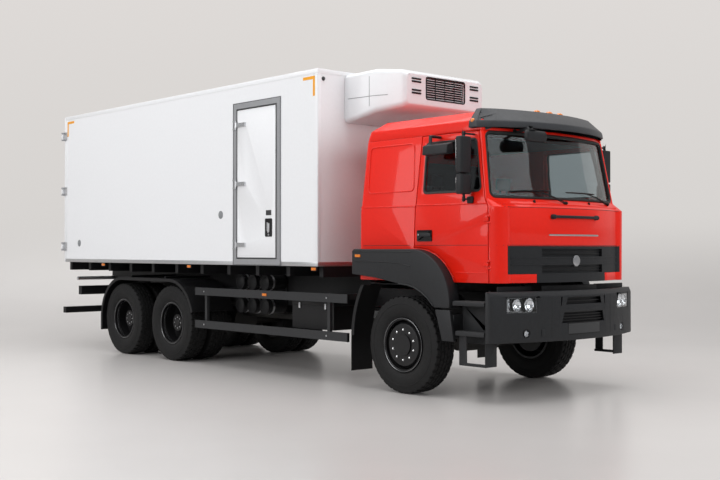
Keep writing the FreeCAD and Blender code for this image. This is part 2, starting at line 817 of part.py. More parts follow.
def rear_door(side, word):
    """An insulated leaf over half the portal, with hinge barrels, a lock rod and its keepers."""
    face = body_tail + S.rear_leaf_in
    leaf = block(f"rear leaf {word}", (face, wall_tail - S.door_seat_gap),
                 (S.rear_door_gap / 2 * side, (body_y - 8) * side), (S.body_floor_z + 6, S.body_top_z - 8))
    pieces = [leaf]
    for number, z in enumerate(hinge_heights(), start=1):
        pieces.append(rod(f"rear hinge barrel {word} {number}", "z", (rear_axis_x, rear_axis_y * side),
                          (z - 38, z + 38), 13))
        pieces.append(block(f"rear hinge strap {word} {number}", (face - 12, face + 1),
                            ((rear_axis_y - 4) * side, (body_y - 330) * side), (z - 38, z + 38)))
    rod_y = (S.rear_door_gap / 2 + 190) * side
    pieces.append(rod(f"lock rod {word}", "z", (face - 14, rod_y), (S.body_floor_z + 10, S.body_top_z - 20), 13))
    for number, z in enumerate((S.body_floor_z + 90, S.body_floor_z + 1100, S.body_top_z - 90), start=1):
        pieces.append(block(f"lock keeper {word} {number}", (face - 28, face + 1),
                            (rod_y - 30, rod_y + 30), (z - 24, z + 24)))
    bores = [rod(f"rear hinge bore {word} {number}", "z", (rear_axis_x, rear_axis_y * side), (z - 39, z + 39),
                 7 + S.running_gap) for number, z in enumerate(hinge_heights(), start=1)]
    return node(cut(f"rear_door_{word}", fuse(f"rear door blank {word}", *pieces), *bores))


side_axis_x = front_x - S.side_door_rear + S.side_frame_width + S.side_leaf_gap / 2
side_axis_y = -body_y - S.side_hinge_offset
side_hinge_zs = tuple(S.body_floor_z + rise for rise in (264, 1054, 1824))


def side_door_frame():
    """Metal surround of the side doorway, with a stop behind the leaf and the hinge pins."""
    rear = front_x - S.side_door_rear
    ahead = rear + S.side_door_width
    proud = -body_y - S.side_frame_proud
    inside = S.wall_gauge - body_y
    blank = block("side frame blank", (rear, ahead), (proud, inside), (S.body_floor_z, S.side_door_top))
    w = S.side_frame_width
    stop = 26
    stop_y = side_leaf_back() + S.door_seat_gap
    hole = block("side frame hole", (rear + w, ahead - w), (proud - 1, stop_y),
                 (S.body_floor_z + w, S.side_door_top - w))
    through = block("side frame way through", (rear + w + stop, ahead - w - stop), (proud - 1, inside + 1),
                    (S.body_floor_z + w + stop, S.side_door_top - w - stop))
    pieces = [cut("side frame ring", blank, hole, through)]
    for number, z in enumerate(side_hinge_zs, start=1):
        pieces.append(rod(f"side hinge pin {number}", "z", (side_axis_x, side_axis_y), (z - 58, z + 58), 6))
        for end in (-1, 1):
            level = z + end * 52
            pieces.append(block(f"side hinge lug {number} {end}", (side_axis_x - 62, side_axis_x),
                                (side_axis_y - 9, proud + 2), (level - 9, level + 9)))
            pieces.append(rod(f"side hinge eye {number} {end}", "z", (side_axis_x, side_axis_y),
                              (level - 9, level + 9), 11))
    return node(fuse("side_door_frame", *pieces))


def side_leaf_back():
    return -body_y - S.side_frame_proud + 64


def side_door():
    rear = front_x - S.side_door_rear + S.side_frame_width + S.side_leaf_gap
    ahead = front_x - S.side_door_rear + S.side_door_width - S.side_frame_width - S.side_leaf_gap
    low = S.body_floor_z + S.side_frame_width + S.side_leaf_gap
    high = S.side_door_top - S.side_frame_width - S.side_leaf_gap
    proud = -body_y - S.side_frame_proud
    leaf = block("side leaf", (rear, ahead), (proud, side_leaf_back()), (low, high))
    lock = block("side lock recess", (ahead - 210, ahead - 90), (proud - 1, proud + 22),
                 (low + 285, low + 485))
    pieces = [cut("side leaf with recess", leaf, lock)]
    for number, z in enumerate(side_hinge_zs, start=1):
        pieces.append(rod(f"side hinge barrel {number}", "z", (side_axis_x, side_axis_y), (z - 36, z + 36), 11))
        pieces.append(block(f"side hinge strap {number}", (side_axis_x, rear + 190), (side_axis_y - 4, proud + 1),
                            (z - 24, z + 24)))
    pieces.append(block("side lock handle", (ahead - 165, ahead - 135), (proud - 16, proud + 23), (low + 330, low + 440)))
    bores = [rod(f"side hinge bore {number}", "z", (side_axis_x, side_axis_y), (z - 37, z + 37),
                 6 + S.running_gap) for number, z in enumerate(side_hinge_zs, start=1)]
    return node(cut("side_door", fuse("side door blank", *pieces), *bores))


def cooling_unit():
    """Cooling unit on the front wall: it narrows to its front face and its belly slopes up."""
    table = (
        # forward of the wall, half width, bottom, top
        (S.running_gap, S.unit_half_width, S.unit_bottom, S.unit_top - 20),
        ((S.body_front - S.unit_front) * 0.58, S.unit_half_width - 45, S.unit_bottom + 95, S.unit_top),
        (S.body_front - S.unit_front - 60, S.unit_face_half_width + 45, S.unit_face_bottom - 25, S.unit_face_top + 20),
        (S.body_front - S.unit_front, S.unit_face_half_width, S.unit_face_bottom + 15, S.unit_face_top - 20),
    )
    wires = []
    for ahead, half, bottom, top in table:
        corners = [(-half, bottom), (half, bottom), (half, top), (-half, top)]
        wires.append(outline("yz", body_x + ahead, rounded(corners, S.unit_radius)))
    shell = loft("unit shell", wires)
    face = front_x - S.unit_front
    tools = [block("unit grille recess", (face - 60, face + 5), (-S.grille_half_width, S.grille_half_width),
                   (S.grille_bottom, S.grille_top))]
    housing = cut("unit housing", shell, *tools)
    bars = []
    count = 9
    pitch = (S.grille_top - S.grille_bottom) / count
    for number in range(count):
        z = S.grille_bottom + pitch * (number + 0.5)
        bars.append(block(f"unit grille bar {number + 1}", (face - 46, face - 16),
                          (-S.grille_half_width, S.grille_half_width), (z - 5, z + 5)))
    return node(fuse("cooling_unit", housing, *bars))


# ---- cab -------------------------------------------------------------------------------------

# Level sections of the cab shell. Columns: height, rear wall forward of the rearmost line, side in
# from the widest line, then behind the nose: corner start, pillar and middle of the front, and
# last how far in from the side the pillar stands.
CAB_LEVELS = (
    (S.cab_floor_z, 0, 10, 262, 140, 0, S.pillar_inset),
    (S.belt_z, 20, 0, 262, 145, 8, S.pillar_inset),
    (S.screen_sill_z, 25, 14, 325, 298, 130, S.pillar_inset / 5),
    (S.gutter_z, 60, 75, 445, 420, 260, S.pillar_inset / 5),
    (S.roof_crease_z, 90, 95, 460, 435, 290, S.pillar_inset / 5),
    (S.cab_roof_z, 215, 235, 580, 530, 420, S.pillar_inset * 0.5),
)


def cab_section(level, inset, z, ahead):
    """One level section of the cab: rear wall, sides, rounded corners and a bowed front."""
    _, rear_in, side_in, corner_back, pillar_back, nose_back, pillar_in = level
    rear = float(cab_x - S.cab_rear + rear_in + inset)
    half = float(S.cab_half_width - side_in - inset)
    nose = cab_x + S.cab_nose - inset + ahead
    corner = float(nose - corner_back)
    pillar = float(nose - pillar_back)
    pillar_y = half - float(pillar_in)
    tip = float(nose - nose_back)
    turn = float(S.cab_rear_radius)
    across, along = half - pillar_y, pillar - corner
    swing = (along * along + across * across) / (2 * across)
    last = math.atan2(pillar_y - half + swing, along)
    bend = (last + math.pi / 2) / 2
    knee = (corner + swing * math.cos(bend), half - swing + swing * math.sin(bend))
    soft = turn * (1 - math.sqrt(0.5))
    steps = [
        (rear, turn - half), (rear, half - turn),
        ((rear + soft, half - soft), (rear + turn, half)),
        (corner, half),
        (knee, (pillar, pillar_y)),
        ((tip, 0), (pillar, -pillar_y)),
        ((knee[0], -knee[1]), (corner, -half)),
        (rear + turn, -half),
        ((rear + soft, soft - half), (rear, turn - half)),
    ]
    return outline("xy", z, steps)


def cab_solid(label, inset, sill_inset=None, ahead=0):
    """The whole cab volume, drawn in from the outer skin by an inset and open below."""
    wires = []
    for number, level in enumerate(CAB_LEVELS):
        z = level[0]
        if number == 0 and float(inset) > 0:
            z = z - 40
        if number == len(CAB_LEVELS) - 1:
            z = z - inset
        depth = sill_inset if number == 0 and sill_inset is not None else inset
        wires.append(cab_section(level, depth, z, ahead))
    return loft(label, wires)


# heights of the two hinges of each cab door
DOOR_HINGES = (S.cab_floor_z + 190, S.belt_z - 130)


def door_outline(grow):
    """Side outline of the cab doorway, larger by grow, with its rear corner cut round the fender."""
    rear, front = cab_x + S.door_rear - grow * 1.5, cab_x + S.door_front + grow
    low, high = S.cab_floor_z - grow, S.gutter_z - 4 + grow
    radius = S.fender_arc + S.fender_gap - grow
    centre_x, centre_z = front_x + S.fender_arc_x, S.fender_top - S.fender_arc
    foot = math.sqrt(float(radius) ** 2 - float(low - centre_z) ** 2)
    half = math.sqrt(0.5)
    return [(rear - 35, centre_z + radius), (centre_x, centre_z + radius),
            ((centre_x + radius * half, centre_z + radius * half), (centre_x + foot, low)),
            (front, low), (front, S.belt_z - 6), (front - 56, S.screen_sill_z), (front - 186, high),
            (rear + 30, high)]


def window_outline(grow):
    rear, front = cab_x + S.window_rear - grow, cab_x + S.window_front + grow
    low, high = S.window_bottom - grow, S.window_top + grow
    return rounded([(rear, low), (front, low), (front - 108, high), (rear + 6, high)], 45)


def screen_outline(grow):
    low, high = S.screen_sill_z + 12 - grow, S.gutter_z - 14 + grow
    wide, narrow = S.cab_half_width - 72 + grow, S.cab_half_width - 132 + grow
    return rounded([(-wide, low), (wide, low), (narrow, high), (-narrow, high)], 60)


def grille_zone(label):
    """Room of the front panel: a wide band and a narrower chin below it."""
    span = (cab_x + 1150, cab_x + S.cab_nose + 10)
    band = block(f"{label} band", span, (-S.grille_panel_half, S.grille_panel_half),
                 (S.grille_panel_bottom, S.grille_panel_top))
    chin = block(f"{label} chin", span, (-S.grille_chin_half, S.grille_chin_half),
                 (S.cab_floor_z - 60, S.grille_panel_bottom + 10))
    return fuse(label, band, chin)


def door_axis(side):
    """Where the hinge axis of a cab door stands, beside the widest line of the cab."""
    return cab_x + S.door_front + S.moving_gap / 2, (S.cab_half_width + 4) * side


def door_hinge_rods(label, side, half, radius):
    """One rod on the hinge axis at the height of each hinge."""
    return [rod(f"{label} {number}", "z", door_axis(side), (z - half, z + half), radius)
            for number, z in enumerate(DOOR_HINGES, start=1)]


def cab_shell():
    """The cab's fixed panels, all cut from one hollow shell, and its two doors."""
    outer = cab_solid("cab outer", length(0))
    inner = cab_solid("cab inner", S.cab_wall, S.cab_sill_wall)
    past_corner = S.cab_door_gauge - 5
    seat = cab_solid("cab door seat", S.cab_door_gauge + S.door_seat_gap, ahead=past_corner)
    leaf_back = cab_solid("cab leaf back", S.cab_door_gauge, ahead=past_corner)
    shell = cut("cab shell", outer, inner)
    gap = S.moving_gap
    reach = S.cab_half_width + 50
    skin_in, across = S.cab_half_width - 132, S.cab_half_width - 165
    rabbets, ways = [], []
    for side, word in SIDES:
        whole = prism(f"door rabbet {word}", "xz", door_outline(gap), (skin_in * side, reach * side))
        rabbets.append(cut(f"door rabbet out of seat {word}", whole, seat))
        ways.append(prism(f"door way {word}", "xz", door_outline(-S.door_stop), (across * side, reach * side)))
    screen = prism("screen opening", "yz", screen_outline(0), (cab_x + 1000, cab_x + S.cab_nose + 10))
    grille = grille_zone("grille opening")
    holed = cut("cab shell with openings", shell, *rabbets, *ways, screen, grille)
    split_x = cab_x + (S.door_rear + S.door_front) / 2
    far = 4000
    rear_zone = block("rear zone", (split_x, split_x - far), (-far, far), (0, S.gutter_z))
    front_zone = block("front zone", (split_x, split_x + far), (-far, far), (0, S.gutter_z))
    roof_zone = block("roof zone", (split_x - far, split_x + far), (-far, far), (S.gutter_z, far))
    node(common("cab_rear_shell", holed, rear_zone))
    reliefs, fittings = [], []
    for side, word in SIDES:
        axis_x, axis_y = door_axis(side)
        reliefs += door_hinge_rods(f"hinge relief {word}", side, S.hinge_barrel_half + 5, S.hinge_relief)
        fittings += door_hinge_rods(f"cab door pin {word}", side, S.hinge_barrel_half + 24, S.hinge_pin)
        for number, z in enumerate(DOOR_HINGES, start=1):
            for end in (-1, 1):
                span = (z + end * (S.hinge_barrel_half + 6), z + end * (S.hinge_barrel_half + 26))
                fittings.append(rod(f"cab door eye {word} {number} {end}", "z", door_axis(side), span, 9))
                fittings.append(block(f"cab door lug {word} {number} {end}", (axis_x + 4, axis_x + 26),
                                      (axis_y - 24 * side, axis_y + 8 * side), span))
    fixed = cut("front panels", common("front panels in zone", holed, front_zone), *reliefs)
    node(fuse("cab_front_shell", fixed, *fittings))
    node(common("cab_roof", holed, roof_zone))
    for side, word in SIDES:
        panel = common(f"door panel {word}", prism(f"door leaf {word}", "xz", door_outline(0),
                                                   (skin_in * side, reach * side)), outer)
        window = prism(f"door window {word}", "xz", window_outline(0), (across * side, reach * side))
        axis_x, axis_y = door_axis(side)
        relief = door_hinge_rods(f"door relief {word}", side, S.hinge_barrel_half + 31, S.hinge_relief)
        leaf = cut(f"door leaf {word} shaped", panel, leaf_back, window, *relief)
        barrels = door_hinge_rods(f"door barrel {word}", side, S.hinge_barrel_half, S.hinge_pin + 5)
        straps = [block(f"door strap {word} {number}", (axis_x - 60, axis_x), (axis_y - 16 * side, axis_y),
                        (z - S.hinge_barrel_half, z + S.hinge_barrel_half))
                  for number, z in enumerate(DOOR_HINGES, start=1)]
        bores = door_hinge_rods(f"door barrel bore {word}", side, S.hinge_barrel_half + 1,
                                S.hinge_pin + S.running_gap)
        node(cut(f"cab_door_{word}", fuse(f"door with hinges {word}", leaf, *straps, *barrels), *bores))
        glass_out = cab_solid(f"door glass outside {word}", S.glass_inset)
        glass_in = cab_solid(f"door glass inside {word}", S.glass_inset + S.glass_gauge)
        pane = prism(f"door pane {word}", "xz", window_outline(0), (across * side, reach * side))
        node(cut(f"door_glass_{word}", common(f"door pane skin {word}", pane, glass_out), glass_in))
    screen_out = cab_solid("screen outside", S.glass_inset)
    screen_in = cab_solid("screen inside", S.glass_inset + S.glass_gauge)
    pane = prism("screen pane", "yz", screen_outline(0), (cab_x + 1000, cab_x + S.cab_nose + 10))
    node(cut("windscreen", common("screen skin", pane, screen_out), screen_in))
    panel = grille_zone("grille blank")
    grille_back = cab_solid("grille back", S.cab_wall * 0.6)
    slots = [block(f"grille slot {number}", (cab_x + 1380, cab_x + S.cab_nose + 10), (-S.grille_slot_half, S.grille_slot_half),
                   (z, z + 84))
             for number, z in enumerate((S.grille_panel_bottom + 6, S.grille_panel_top - 112), start=1)]
    face = cut("grille face", common("grille skin", panel, outer), grille_back)
    slot_floor = cab_solid("grille slot floor", S.cab_wall * 0.4)
    pockets = cut("grille pockets", fuse("grille slots", *slots), slot_floor)
    node(cut("grille_panel", face, pockets))
    floor_box = block("cab floor zone", (cab_x - S.cab_rear, cab_x + S.door_front), (-far, far),
                      (S.cab_floor_z, cab_floor_top + S.tunnel_height))
    inside = cab_solid("cab floor outline", S.cab_wall, S.cab_sill_wall)
    well = [block(f"foot well {word}", (cab_x - S.cab_rear - 10, cab_x + S.door_front + 10),
                  (S.tunnel_half_width * side, far * side), (cab_floor_top, far)) for side, word in SIDES]
    tunnel = block("engine tunnel", (cab_x - S.cab_rear - 10, cab_x + S.door_front - S.cab_floor_gauge),
                   (S.cab_floor_gauge - S.tunnel_half_width, S.tunnel_half_width - S.cab_floor_gauge),
                   (S.cab_floor_z - 10, cab_floor_top + S.tunnel_height - S.cab_floor_gauge))
    pan = cut("cab floor pan", common("cab floor blank", floor_box, inside), *well, tunnel)
    node(fuse("cab_floor", pan, *cab_pivot_arms()))


def cab_pivot_arms():
    """Arms from the cab floor down to the tilt axis, outside the chassis rails."""
    arms = []
    for side, word in SIDES:
        y = (rail_y + 70) * side
        y_far = (rail_y + 110) * side
        bore = rod(f"pivot bore {word}", "y", (pivot_x, pivot_z), (y, y_far),
                   S.cab_pivot_radius + S.running_gap)
        arm = prism(f"pivot arm {word}", "xz",
                    [(pivot_x - 250, S.cab_floor_z + 2), (pivot_x - 190, S.cab_floor_z + 2),
                     (pivot_x + 42, pivot_z + 42), (pivot_x + 42, pivot_z - 42), (pivot_x - 42, pivot_z - 42)],
                    (y, y_far))
        arms.append(cut(f"pivot arm with bore {word}", arm, bore))
    return arms


# ---- front end of the chassis ----------------------------------------------------------------

def bumper_volume(label, inset):
    """The bumper's bowed outer volume, drawn in by an inset; an inner volume is open above and below."""
    tail = front_x + S.bumper_end - 60
    half = S.bumper_half_width - inset
    low, high = S.bumper_bottom, S.bumper_top
    levels = [(low, 0), (high - S.bumper_chamfer, 0), (high, S.bumper_chamfer)]
    if float(inset) > 0:
        levels = [(low - 1, 0), (high - S.bumper_chamfer * 0.85, 0), (high + 1, S.bumper_chamfer * 0.345)]
        tail = tail - 1
    wires = []
    for z, back in levels:
        end = front_x + S.bumper_end - inset * 0.8 - back * 0.6
        wires.append(outline("xy", z, [(tail, -half), (end, -half),
                                       ((front_x + S.bumper_nose - inset - back, 0), (end, half)), (tail, half)]))
    return loft(label, wires)


def front_bumper():
    shell = cut("bumper shell", bumper_volume("bumper outside", length(0)),
                bumper_volume("bumper inside", S.bumper_gauge))
    front = front_x + S.bumper_nose + 5
    tools = []
    for side, word in SIDES:
        tools.append(block(f"headlamp pocket {word}", (front_x + 1100, front),
                           (S.headlamp_inner * side, S.headlamp_outer * side), (S.headlamp_bottom, S.headlamp_top)))
        tools.append(rod(f"fog lamp pocket {word}", "x", (S.foglamp_y * side, S.foglamp_z),
                         (front_x + 1200, front), S.foglamp_radius))
    for number, (half, low, high) in enumerate(((375, 1010, 1080), (375, 815, 925)), start=1):
        tools.append(block(f"bumper slot {number}", (front_x + 1300, front), (-half, half), (low, high)))
    return node(cut("front_bumper", shell, *tools))


def front_lamps():
    """Headlamps and fog lamps that fill their pockets in the bumper, set back a little."""
    front = front_x + S.bumper_nose + 5
    blanks = []
    for side, word in SIDES:
        blanks.append(block(f"headlamp blank {word}", (front_x + 1100, front),
                            (S.headlamp_inner * side, S.headlamp_outer * side), (S.headlamp_bottom, S.headlamp_top)))
        blanks.append(rod(f"fog lamp blank {word}", "x", (S.foglamp_y * side, S.foglamp_z),
                          (front_x + 1200, front), S.foglamp_radius))
    lit = common("lamp fronts", group("lamp blanks", *blanks), bumper_volume("lamp face", length(5)))
    return node(cut("front_lamps", lit, bumper_volume("lamp back", S.bumper_gauge)))


def entry_steps():
    """Two treads, the back panel that carries them, a hanging foot frame and the fender's lower end."""
    x = front_x
    outer, back = -S.step_y, S.step_depth - S.step_y
    panel = block("step back panel", (x + 745, x + 1217), (back, back + 34), (600, S.step_upper_z))
    upper = block("upper tread", (x + 776, x + 1217), (outer, back), (S.step_upper_z - S.step_gauge, S.step_upper_z))
    lower = block("lower tread", (x + 815, x + 1215), (outer, back), (S.step_lower_z - S.step_gauge, S.step_lower_z))
    foot_back = block("foot plate", (x + 822, x + 930), (-1200, -1186), (S.step_foot_z, S.step_lower_z - 30))
    foot_front = block("foot side", (x + 1180, x + 1196), (-1200, back + 34), (S.step_foot_z, S.step_lower_z - 30))
    rung = block("foot rung", (x + 822, x + 1196), (-1200, -1166), (S.step_foot_z, S.step_foot_z + 30))
    bracket = block("step bracket", (x + 980, x + 1060), (back + 34, S.running_gap * -1 - rail_y),
                    (rail_middle - 50, rail_middle + 30))
    toe = prism("fender lower end", "xz", [(x + 522, S.fender_toe_z - 20), (x + 736, S.fender_toe_z - 20),
                                           (x + 792, 622), (x + 622, 622)], (-S.fender_y, -S.fender_y + 40))
    web = block("fender lower web", (x + 700, x + 760), (-S.fender_y + 40, back + 34), (650, 900))
    side = fuse("entry steps right", panel, upper, lower, foot_back, foot_front, rung, bracket, toe, web)
    return node(both_sides("entry_steps", side))


def front_fenders():
    """Side skin of each fender, shaped round the wheel arch, and the arch liner under the cab floor."""
    x = front_x
    top, rear_low, toe = S.fender_top, S.fender_rear_bottom, S.fender_toe_z
    inner = S.arch_radius
    toe_in = math.sqrt(float(inner) ** 2 - float(toe - hub_z) ** 2)
    half = math.sqrt(0.5)
    knee = float(inner) * half
    arc_x, arc_z = x + S.fender_arc_x, top - S.fender_arc
    toe_out_x = math.sqrt(float(S.fender_arc) ** 2 - float(toe - arc_z) ** 2)
    skin = prism("fender skin", "xz",
                 [(x - S.fender_rear, rear_low), (x - S.fender_rear, top - 26), (x - S.fender_rear + 26, top),
                  (arc_x, top), ((arc_x + S.fender_arc * half, arc_z + S.fender_arc * half), (arc_x + toe_out_x, toe)),
                  (x + toe_in, toe),
                  ((x + knee, hub_z + knee), (x + 60, hub_z + math.sqrt(float(inner) ** 2 - 3600))),
                 (x - 420, rear_low - 34)],
                 (-S.fender_y, -S.fender_y + 165))
    trimmed = cut("fender skin on cab", skin, cab_solid("fender cab volume", length(0)))
    outer = inner + S.arch_gauge
    toe_out = math.sqrt(float(outer) ** 2 - float(toe - hub_z) ** 2)
    knee_out = float(outer) * half
    liner = prism("arch liner", "xz",
                  [(x + toe_in, toe), (x + toe_out, toe), ((x + knee_out, hub_z + knee_out), (x, hub_z + outer)),
                   (x - 560, hub_z + outer), (x - 560, hub_z + inner), (x, hub_z + inner),
                   ((x + knee, hub_z + knee), (x + toe_in, toe))], (-S.fender_y + 60, -700))
    return node(both_sides("front_fenders", fuse("front fender right", trimmed, liner)))


def arc_band(label, points, gauge, span):
    """A curved strip through three points of a side view, as thick as gauge towards the rear."""
    shifted = [(px - gauge, pz) for px, pz in points]
    steps = [points[0], (points[1], points[2]), shifted[2], (shifted[1], shifted[0])]
    return prism(label, "xz", steps, span)


def mudguards():
    """Strip and flap behind each front wheel, and a guard over each pair of rear wheels."""
    x = front_x
    path = [(x - 640, 1180), (x - 762, 900), (x - 806, 600)]
    outer, inner = -S.mudguard_y, -925
    strip = arc_band("front guard strip", path, S.mudguard_gauge, (outer, inner))
    rim = arc_band("front guard rim", [(px + 34, pz) for px, pz in path], 34, (outer, outer + 14))
    flap = block("front flap", (x - 820, x - 808), (outer, inner), (S.flap_bottom, 640))
    arm = rod("front guard arm", "y", (x - 784, 905), (outer + 60, -rail_y - S.running_gap), 17)
    front = fuse("front mudguard right", strip, rim, flap, arm)
    first, last = rear_axle_xs
    r_in, r_out = S.mudguard_radius, S.mudguard_radius + S.mudguard_gauge
    pieces = []
    for name, out, depth in (("sheet", r_out, (-S.mudguard_y, -S.mudguard_inner)),
                             ("rim", r_in - 30, (-S.mudguard_y, 14 - S.mudguard_y))):
        low, high = (r_in, out) if name == "sheet" else (out, r_in + 1)
        half = math.sqrt(0.5)
        end = math.radians(17)
        pieces.append(prism(f"rear guard {name}", "xz",
                            [(last - high, 340), (last - high, hub_z),
                             ((last - high * half, hub_z + high * half), (last, hub_z + high)),
                             (first, hub_z + high),
                             ((first + high * math.cos(end * 2.8), hub_z + high * math.sin(end * 2.8)),
                              (first + high * math.cos(end), hub_z + high * math.sin(end))),
                             (first + low * math.cos(end), hub_z + low * math.sin(end)),
                             ((first + low * math.cos(end * 2.8), hub_z + low * math.sin(end * 2.8)),
                              (first, hub_z + low)), (last, hub_z + low),
                             ((last - low * half, hub_z + low * half), (last - low, hub_z)), (last - low, 340)],
                            depth))
    for number, offset in enumerate((-480, 480), start=1):
        pieces.append(rod(f"rear guard arm {number}", "y", (bogie_x + offset, hub_z + r_out + 16),
                          (-S.mudguard_y + 60, -rail_y - S.running_gap), 17))
    rear = fuse("rear mudguard right", *pieces)
    return node(group("mudguards", front, mirrored("front mudguard left", front), rear,
                      mirrored("rear mudguard left", rear)))


def side_guards():
    tail, ahead = rear_axle_xs[0] + S.guard_tail, front_x - S.guard_front
    outer, inner = -S.guard_y, S.guard_gauge - S.guard_y
    pieces = [block("upper guard bar", (tail, ahead), (outer, inner), (S.guard_upper_z, S.guard_upper_z + S.guard_height)),
              block("lower guard bar", (tail, ahead), (outer, inner), (S.guard_lower_z, S.guard_lower_z + S.guard_height))]
    for number, x in enumerate((tail + 200, ahead - 400), start=1):
        pieces.append(block(f"guard post {number}", (x, x + 50), (inner, inner + 40),
                            (S.guard_lower_z, S.guard_upper_z + S.guard_height)))
        pieces.append(block(f"guard outrigger {number}", (x, x + 50), (inner + 40, -rail_y - S.running_gap),
                            (S.guard_upper_z + 20, S.guard_upper_z + 90)))
    return node(both_sides("side_guards", fuse("side guard right", *pieces)))


def air_tanks():
    """Six short cross-mounted tanks on a plate outside the right rail."""
    plate_y = -rail_y - S.running_gap
    pitch = S.air_tank_pitch
    last = front_x - 3700
    heights = (S.rail_top + 30, S.rail_top - 290)
    plate = block("tank plate", (last - S.air_tank_radius, last + pitch * 2 + S.air_tank_radius),
                  (plate_y, plate_y - 24), (rail_bottom + 20, S.rail_top - 20))
    tanks = [plate]
    for column in range(3):
        for level, z in enumerate(heights):
            tanks.append(rod(f"air tank {column} {level}", "y", (last + pitch * column, z),
                             (plate_y - 20, plate_y - S.air_tank_length), S.air_tank_radius))
    return node(fuse("air_tanks", *tanks))


def fuel_tank():
    """Fuel tank outside the left rail, with rounded long edges, on two cradle arms."""
    near = rail_y + 70
    low = 470
    x_rear = front_x - 1450 - S.fuel_tank_length
    corners = [(near, low), (near + S.fuel_tank_depth, low), (near + S.fuel_tank_depth, low + S.fuel_tank_height),
               (near, low + S.fuel_tank_height)]
    tank = prism("tank body", "yz", rounded(corners, 90), (x_rear, x_rear + S.fuel_tank_length))
    arms = [block(f"tank arm {number}", (x, x + 60), (rail_y + S.running_gap, near + 2), (rail_bottom + 10, S.rail_top - 120))
            for number, x in enumerate((x_rear + 260, x_rear + S.fuel_tank_length - 320), start=1)]
    cap = rod("tank cap", "z", (x_rear + S.fuel_tank_length - 200, near + S.fuel_tank_depth * 0.7),
              (low + S.fuel_tank_height - 5, low + S.fuel_tank_height + 38), 48)
    return node(fuse("fuel_tank", tank, cap, *arms))


def battery_box():
    near = -rail_y - 110
    case = block("battery case", (front_x - 2150, front_x - 1350), (near - 520, near), (610, 985))
    arms = [block(f"battery arm {number}", (x, x + 60), (near - 2, -rail_y - S.running_gap), (rail_bottom + 20, 960))
            for number, x in enumerate((front_x - 2050, front_x - 1500), start=1)]
    return node(fuse("battery_box", case, *arms))


def rear_underrun():
    """Bar behind the tail on two drop arms, and a lamp box on each side outside the rails."""
    bar_tail = front_x - S.underrun_tail
    low, high = S.underrun_z, S.underrun_z + S.underrun_height
    bar = block("underrun bar", (bar_tail, bar_tail + S.underrun_depth),
                (-S.underrun_half_width, S.underrun_half_width), (low, high))
    tail = front_x - S.rail_tail
    pieces = [bar]
    for side, word in SIDES:
        outer = rail_y + S.running_gap
        pieces.append(prism(f"underrun arm {word}", "xz",
                            [(tail + 320, rail_middle + 80), (tail + 20, rail_middle + 80), (bar_tail + 10, high - 2),
                             (bar_tail + 10, low), (bar_tail + S.underrun_depth, low), (tail + 320, rail_bottom + 10)],
                            (outer * side, (outer + 16) * side)))
        pieces.append(block(f"lamp box {word}", (front_x - 7560, front_x - 7460),
                            ((outer + 10) * side, 1200 * side), (860, 1000)))
    return node(fuse("rear_underrun", *pieces))


# ---- cab fittings ----------------------------------------------------------------------------

def visor_volume(label, inset):
    rear = cab_x + 925
    levels = (
        # height, half width, corner, pillar, pillar in, nose
        (S.visor_lip_z, S.cab_half_width - 42, 1040, 1195, 150, 0),
        (S.visor_lip_z + 70, S.cab_half_width - 50, 1035, 1185, 150, 12),
        (S.visor_top_z, S.cab_half_width - 170, 990, 1070, 150, 235),
    )
    wires = []
    for number, (z, half, corner, pillar, pillar_in, nose_back) in enumerate(levels):
        if float(inset) > 0 and number == 0:
            z = z - 5
        if number == 2:
            z = z - inset
        half = half - inset
        tip = S.visor_nose - nose_back - inset
        wires.append(outline("xy", z, [
            (rear - inset, -half), (cab_x + corner, -half), (cab_x + pillar - inset, pillar_in - half),
            ((cab_x + tip, 0), (cab_x + pillar - inset, half - pillar_in)), (cab_x + corner, half),
            (rear - inset, half)]))
    return loft(label, wires)


def sun_visor():
    shell = cut("visor shell", visor_volume("visor outside", length(0)), visor_volume("visor inside", S.visor_gauge))
    return node(cut("sun_visor", shell, cab_solid("visor cab volume", length(0))))


def dashboard():
    """Dashboard fitted to the inside of the front, with the steering wheel on its column."""
    low, high = S.belt_z - 400, S.belt_z
    blank = prism("dashboard blank", "xz",
                  [(cab_x + 860, low), (cab_x + 860, high - 140), (cab_x + 1060, high + 10),
                   (cab_x + S.cab_nose, high + 10), (cab_x + S.cab_nose, low)], (-S.cab_half_width, S.cab_half_width))
    dash = common("dashboard top", blank, cab_solid("dashboard room", S.cab_wall, S.cab_sill_wall))
    hub = FreeCAD.Vector(float(cab_x + 700), 520, float(S.belt_z - 70))
    lean = FreeCAD.Rotation(AXIS["y"], -32)
    rim = add("Part::Torus", "steering rim")
    rim.Radius1 = 220
    rim.Radius2 = 16
    rim.Placement = FreeCAD.Placement(hub, lean)
    boss = add("Part::Cylinder", "steering boss")
    boss.Radius = 75
    boss.Height = 30
    boss.Placement = FreeCAD.Placement(hub + lean.multVec(FreeCAD.Vector(0, 0, -45)), lean)
    column = add("Part::Cylinder", "steering column")
    column.Radius = 34
    column.Height = 360
    column.Placement = FreeCAD.Placement(hub + lean.multVec(FreeCAD.Vector(0, 0, -390)), lean)
    spokes = []
    for number, angle in enumerate((0, 120, 240), start=1):
        spoke = add("Part::Box", f"steering spoke {number}")
        spoke.Length = 215
        spoke.Width = 36
        spoke.Height = 12
        turn = lean.multiply(FreeCAD.Rotation(AXIS["z"], angle))
        spoke.Placement = FreeCAD.Placement(hub + turn.multVec(FreeCAD.Vector(0, -18, -24)), turn)
        spokes.append(spoke)
    return node(fuse("dashboard", dash, rim, boss, column, *spokes))


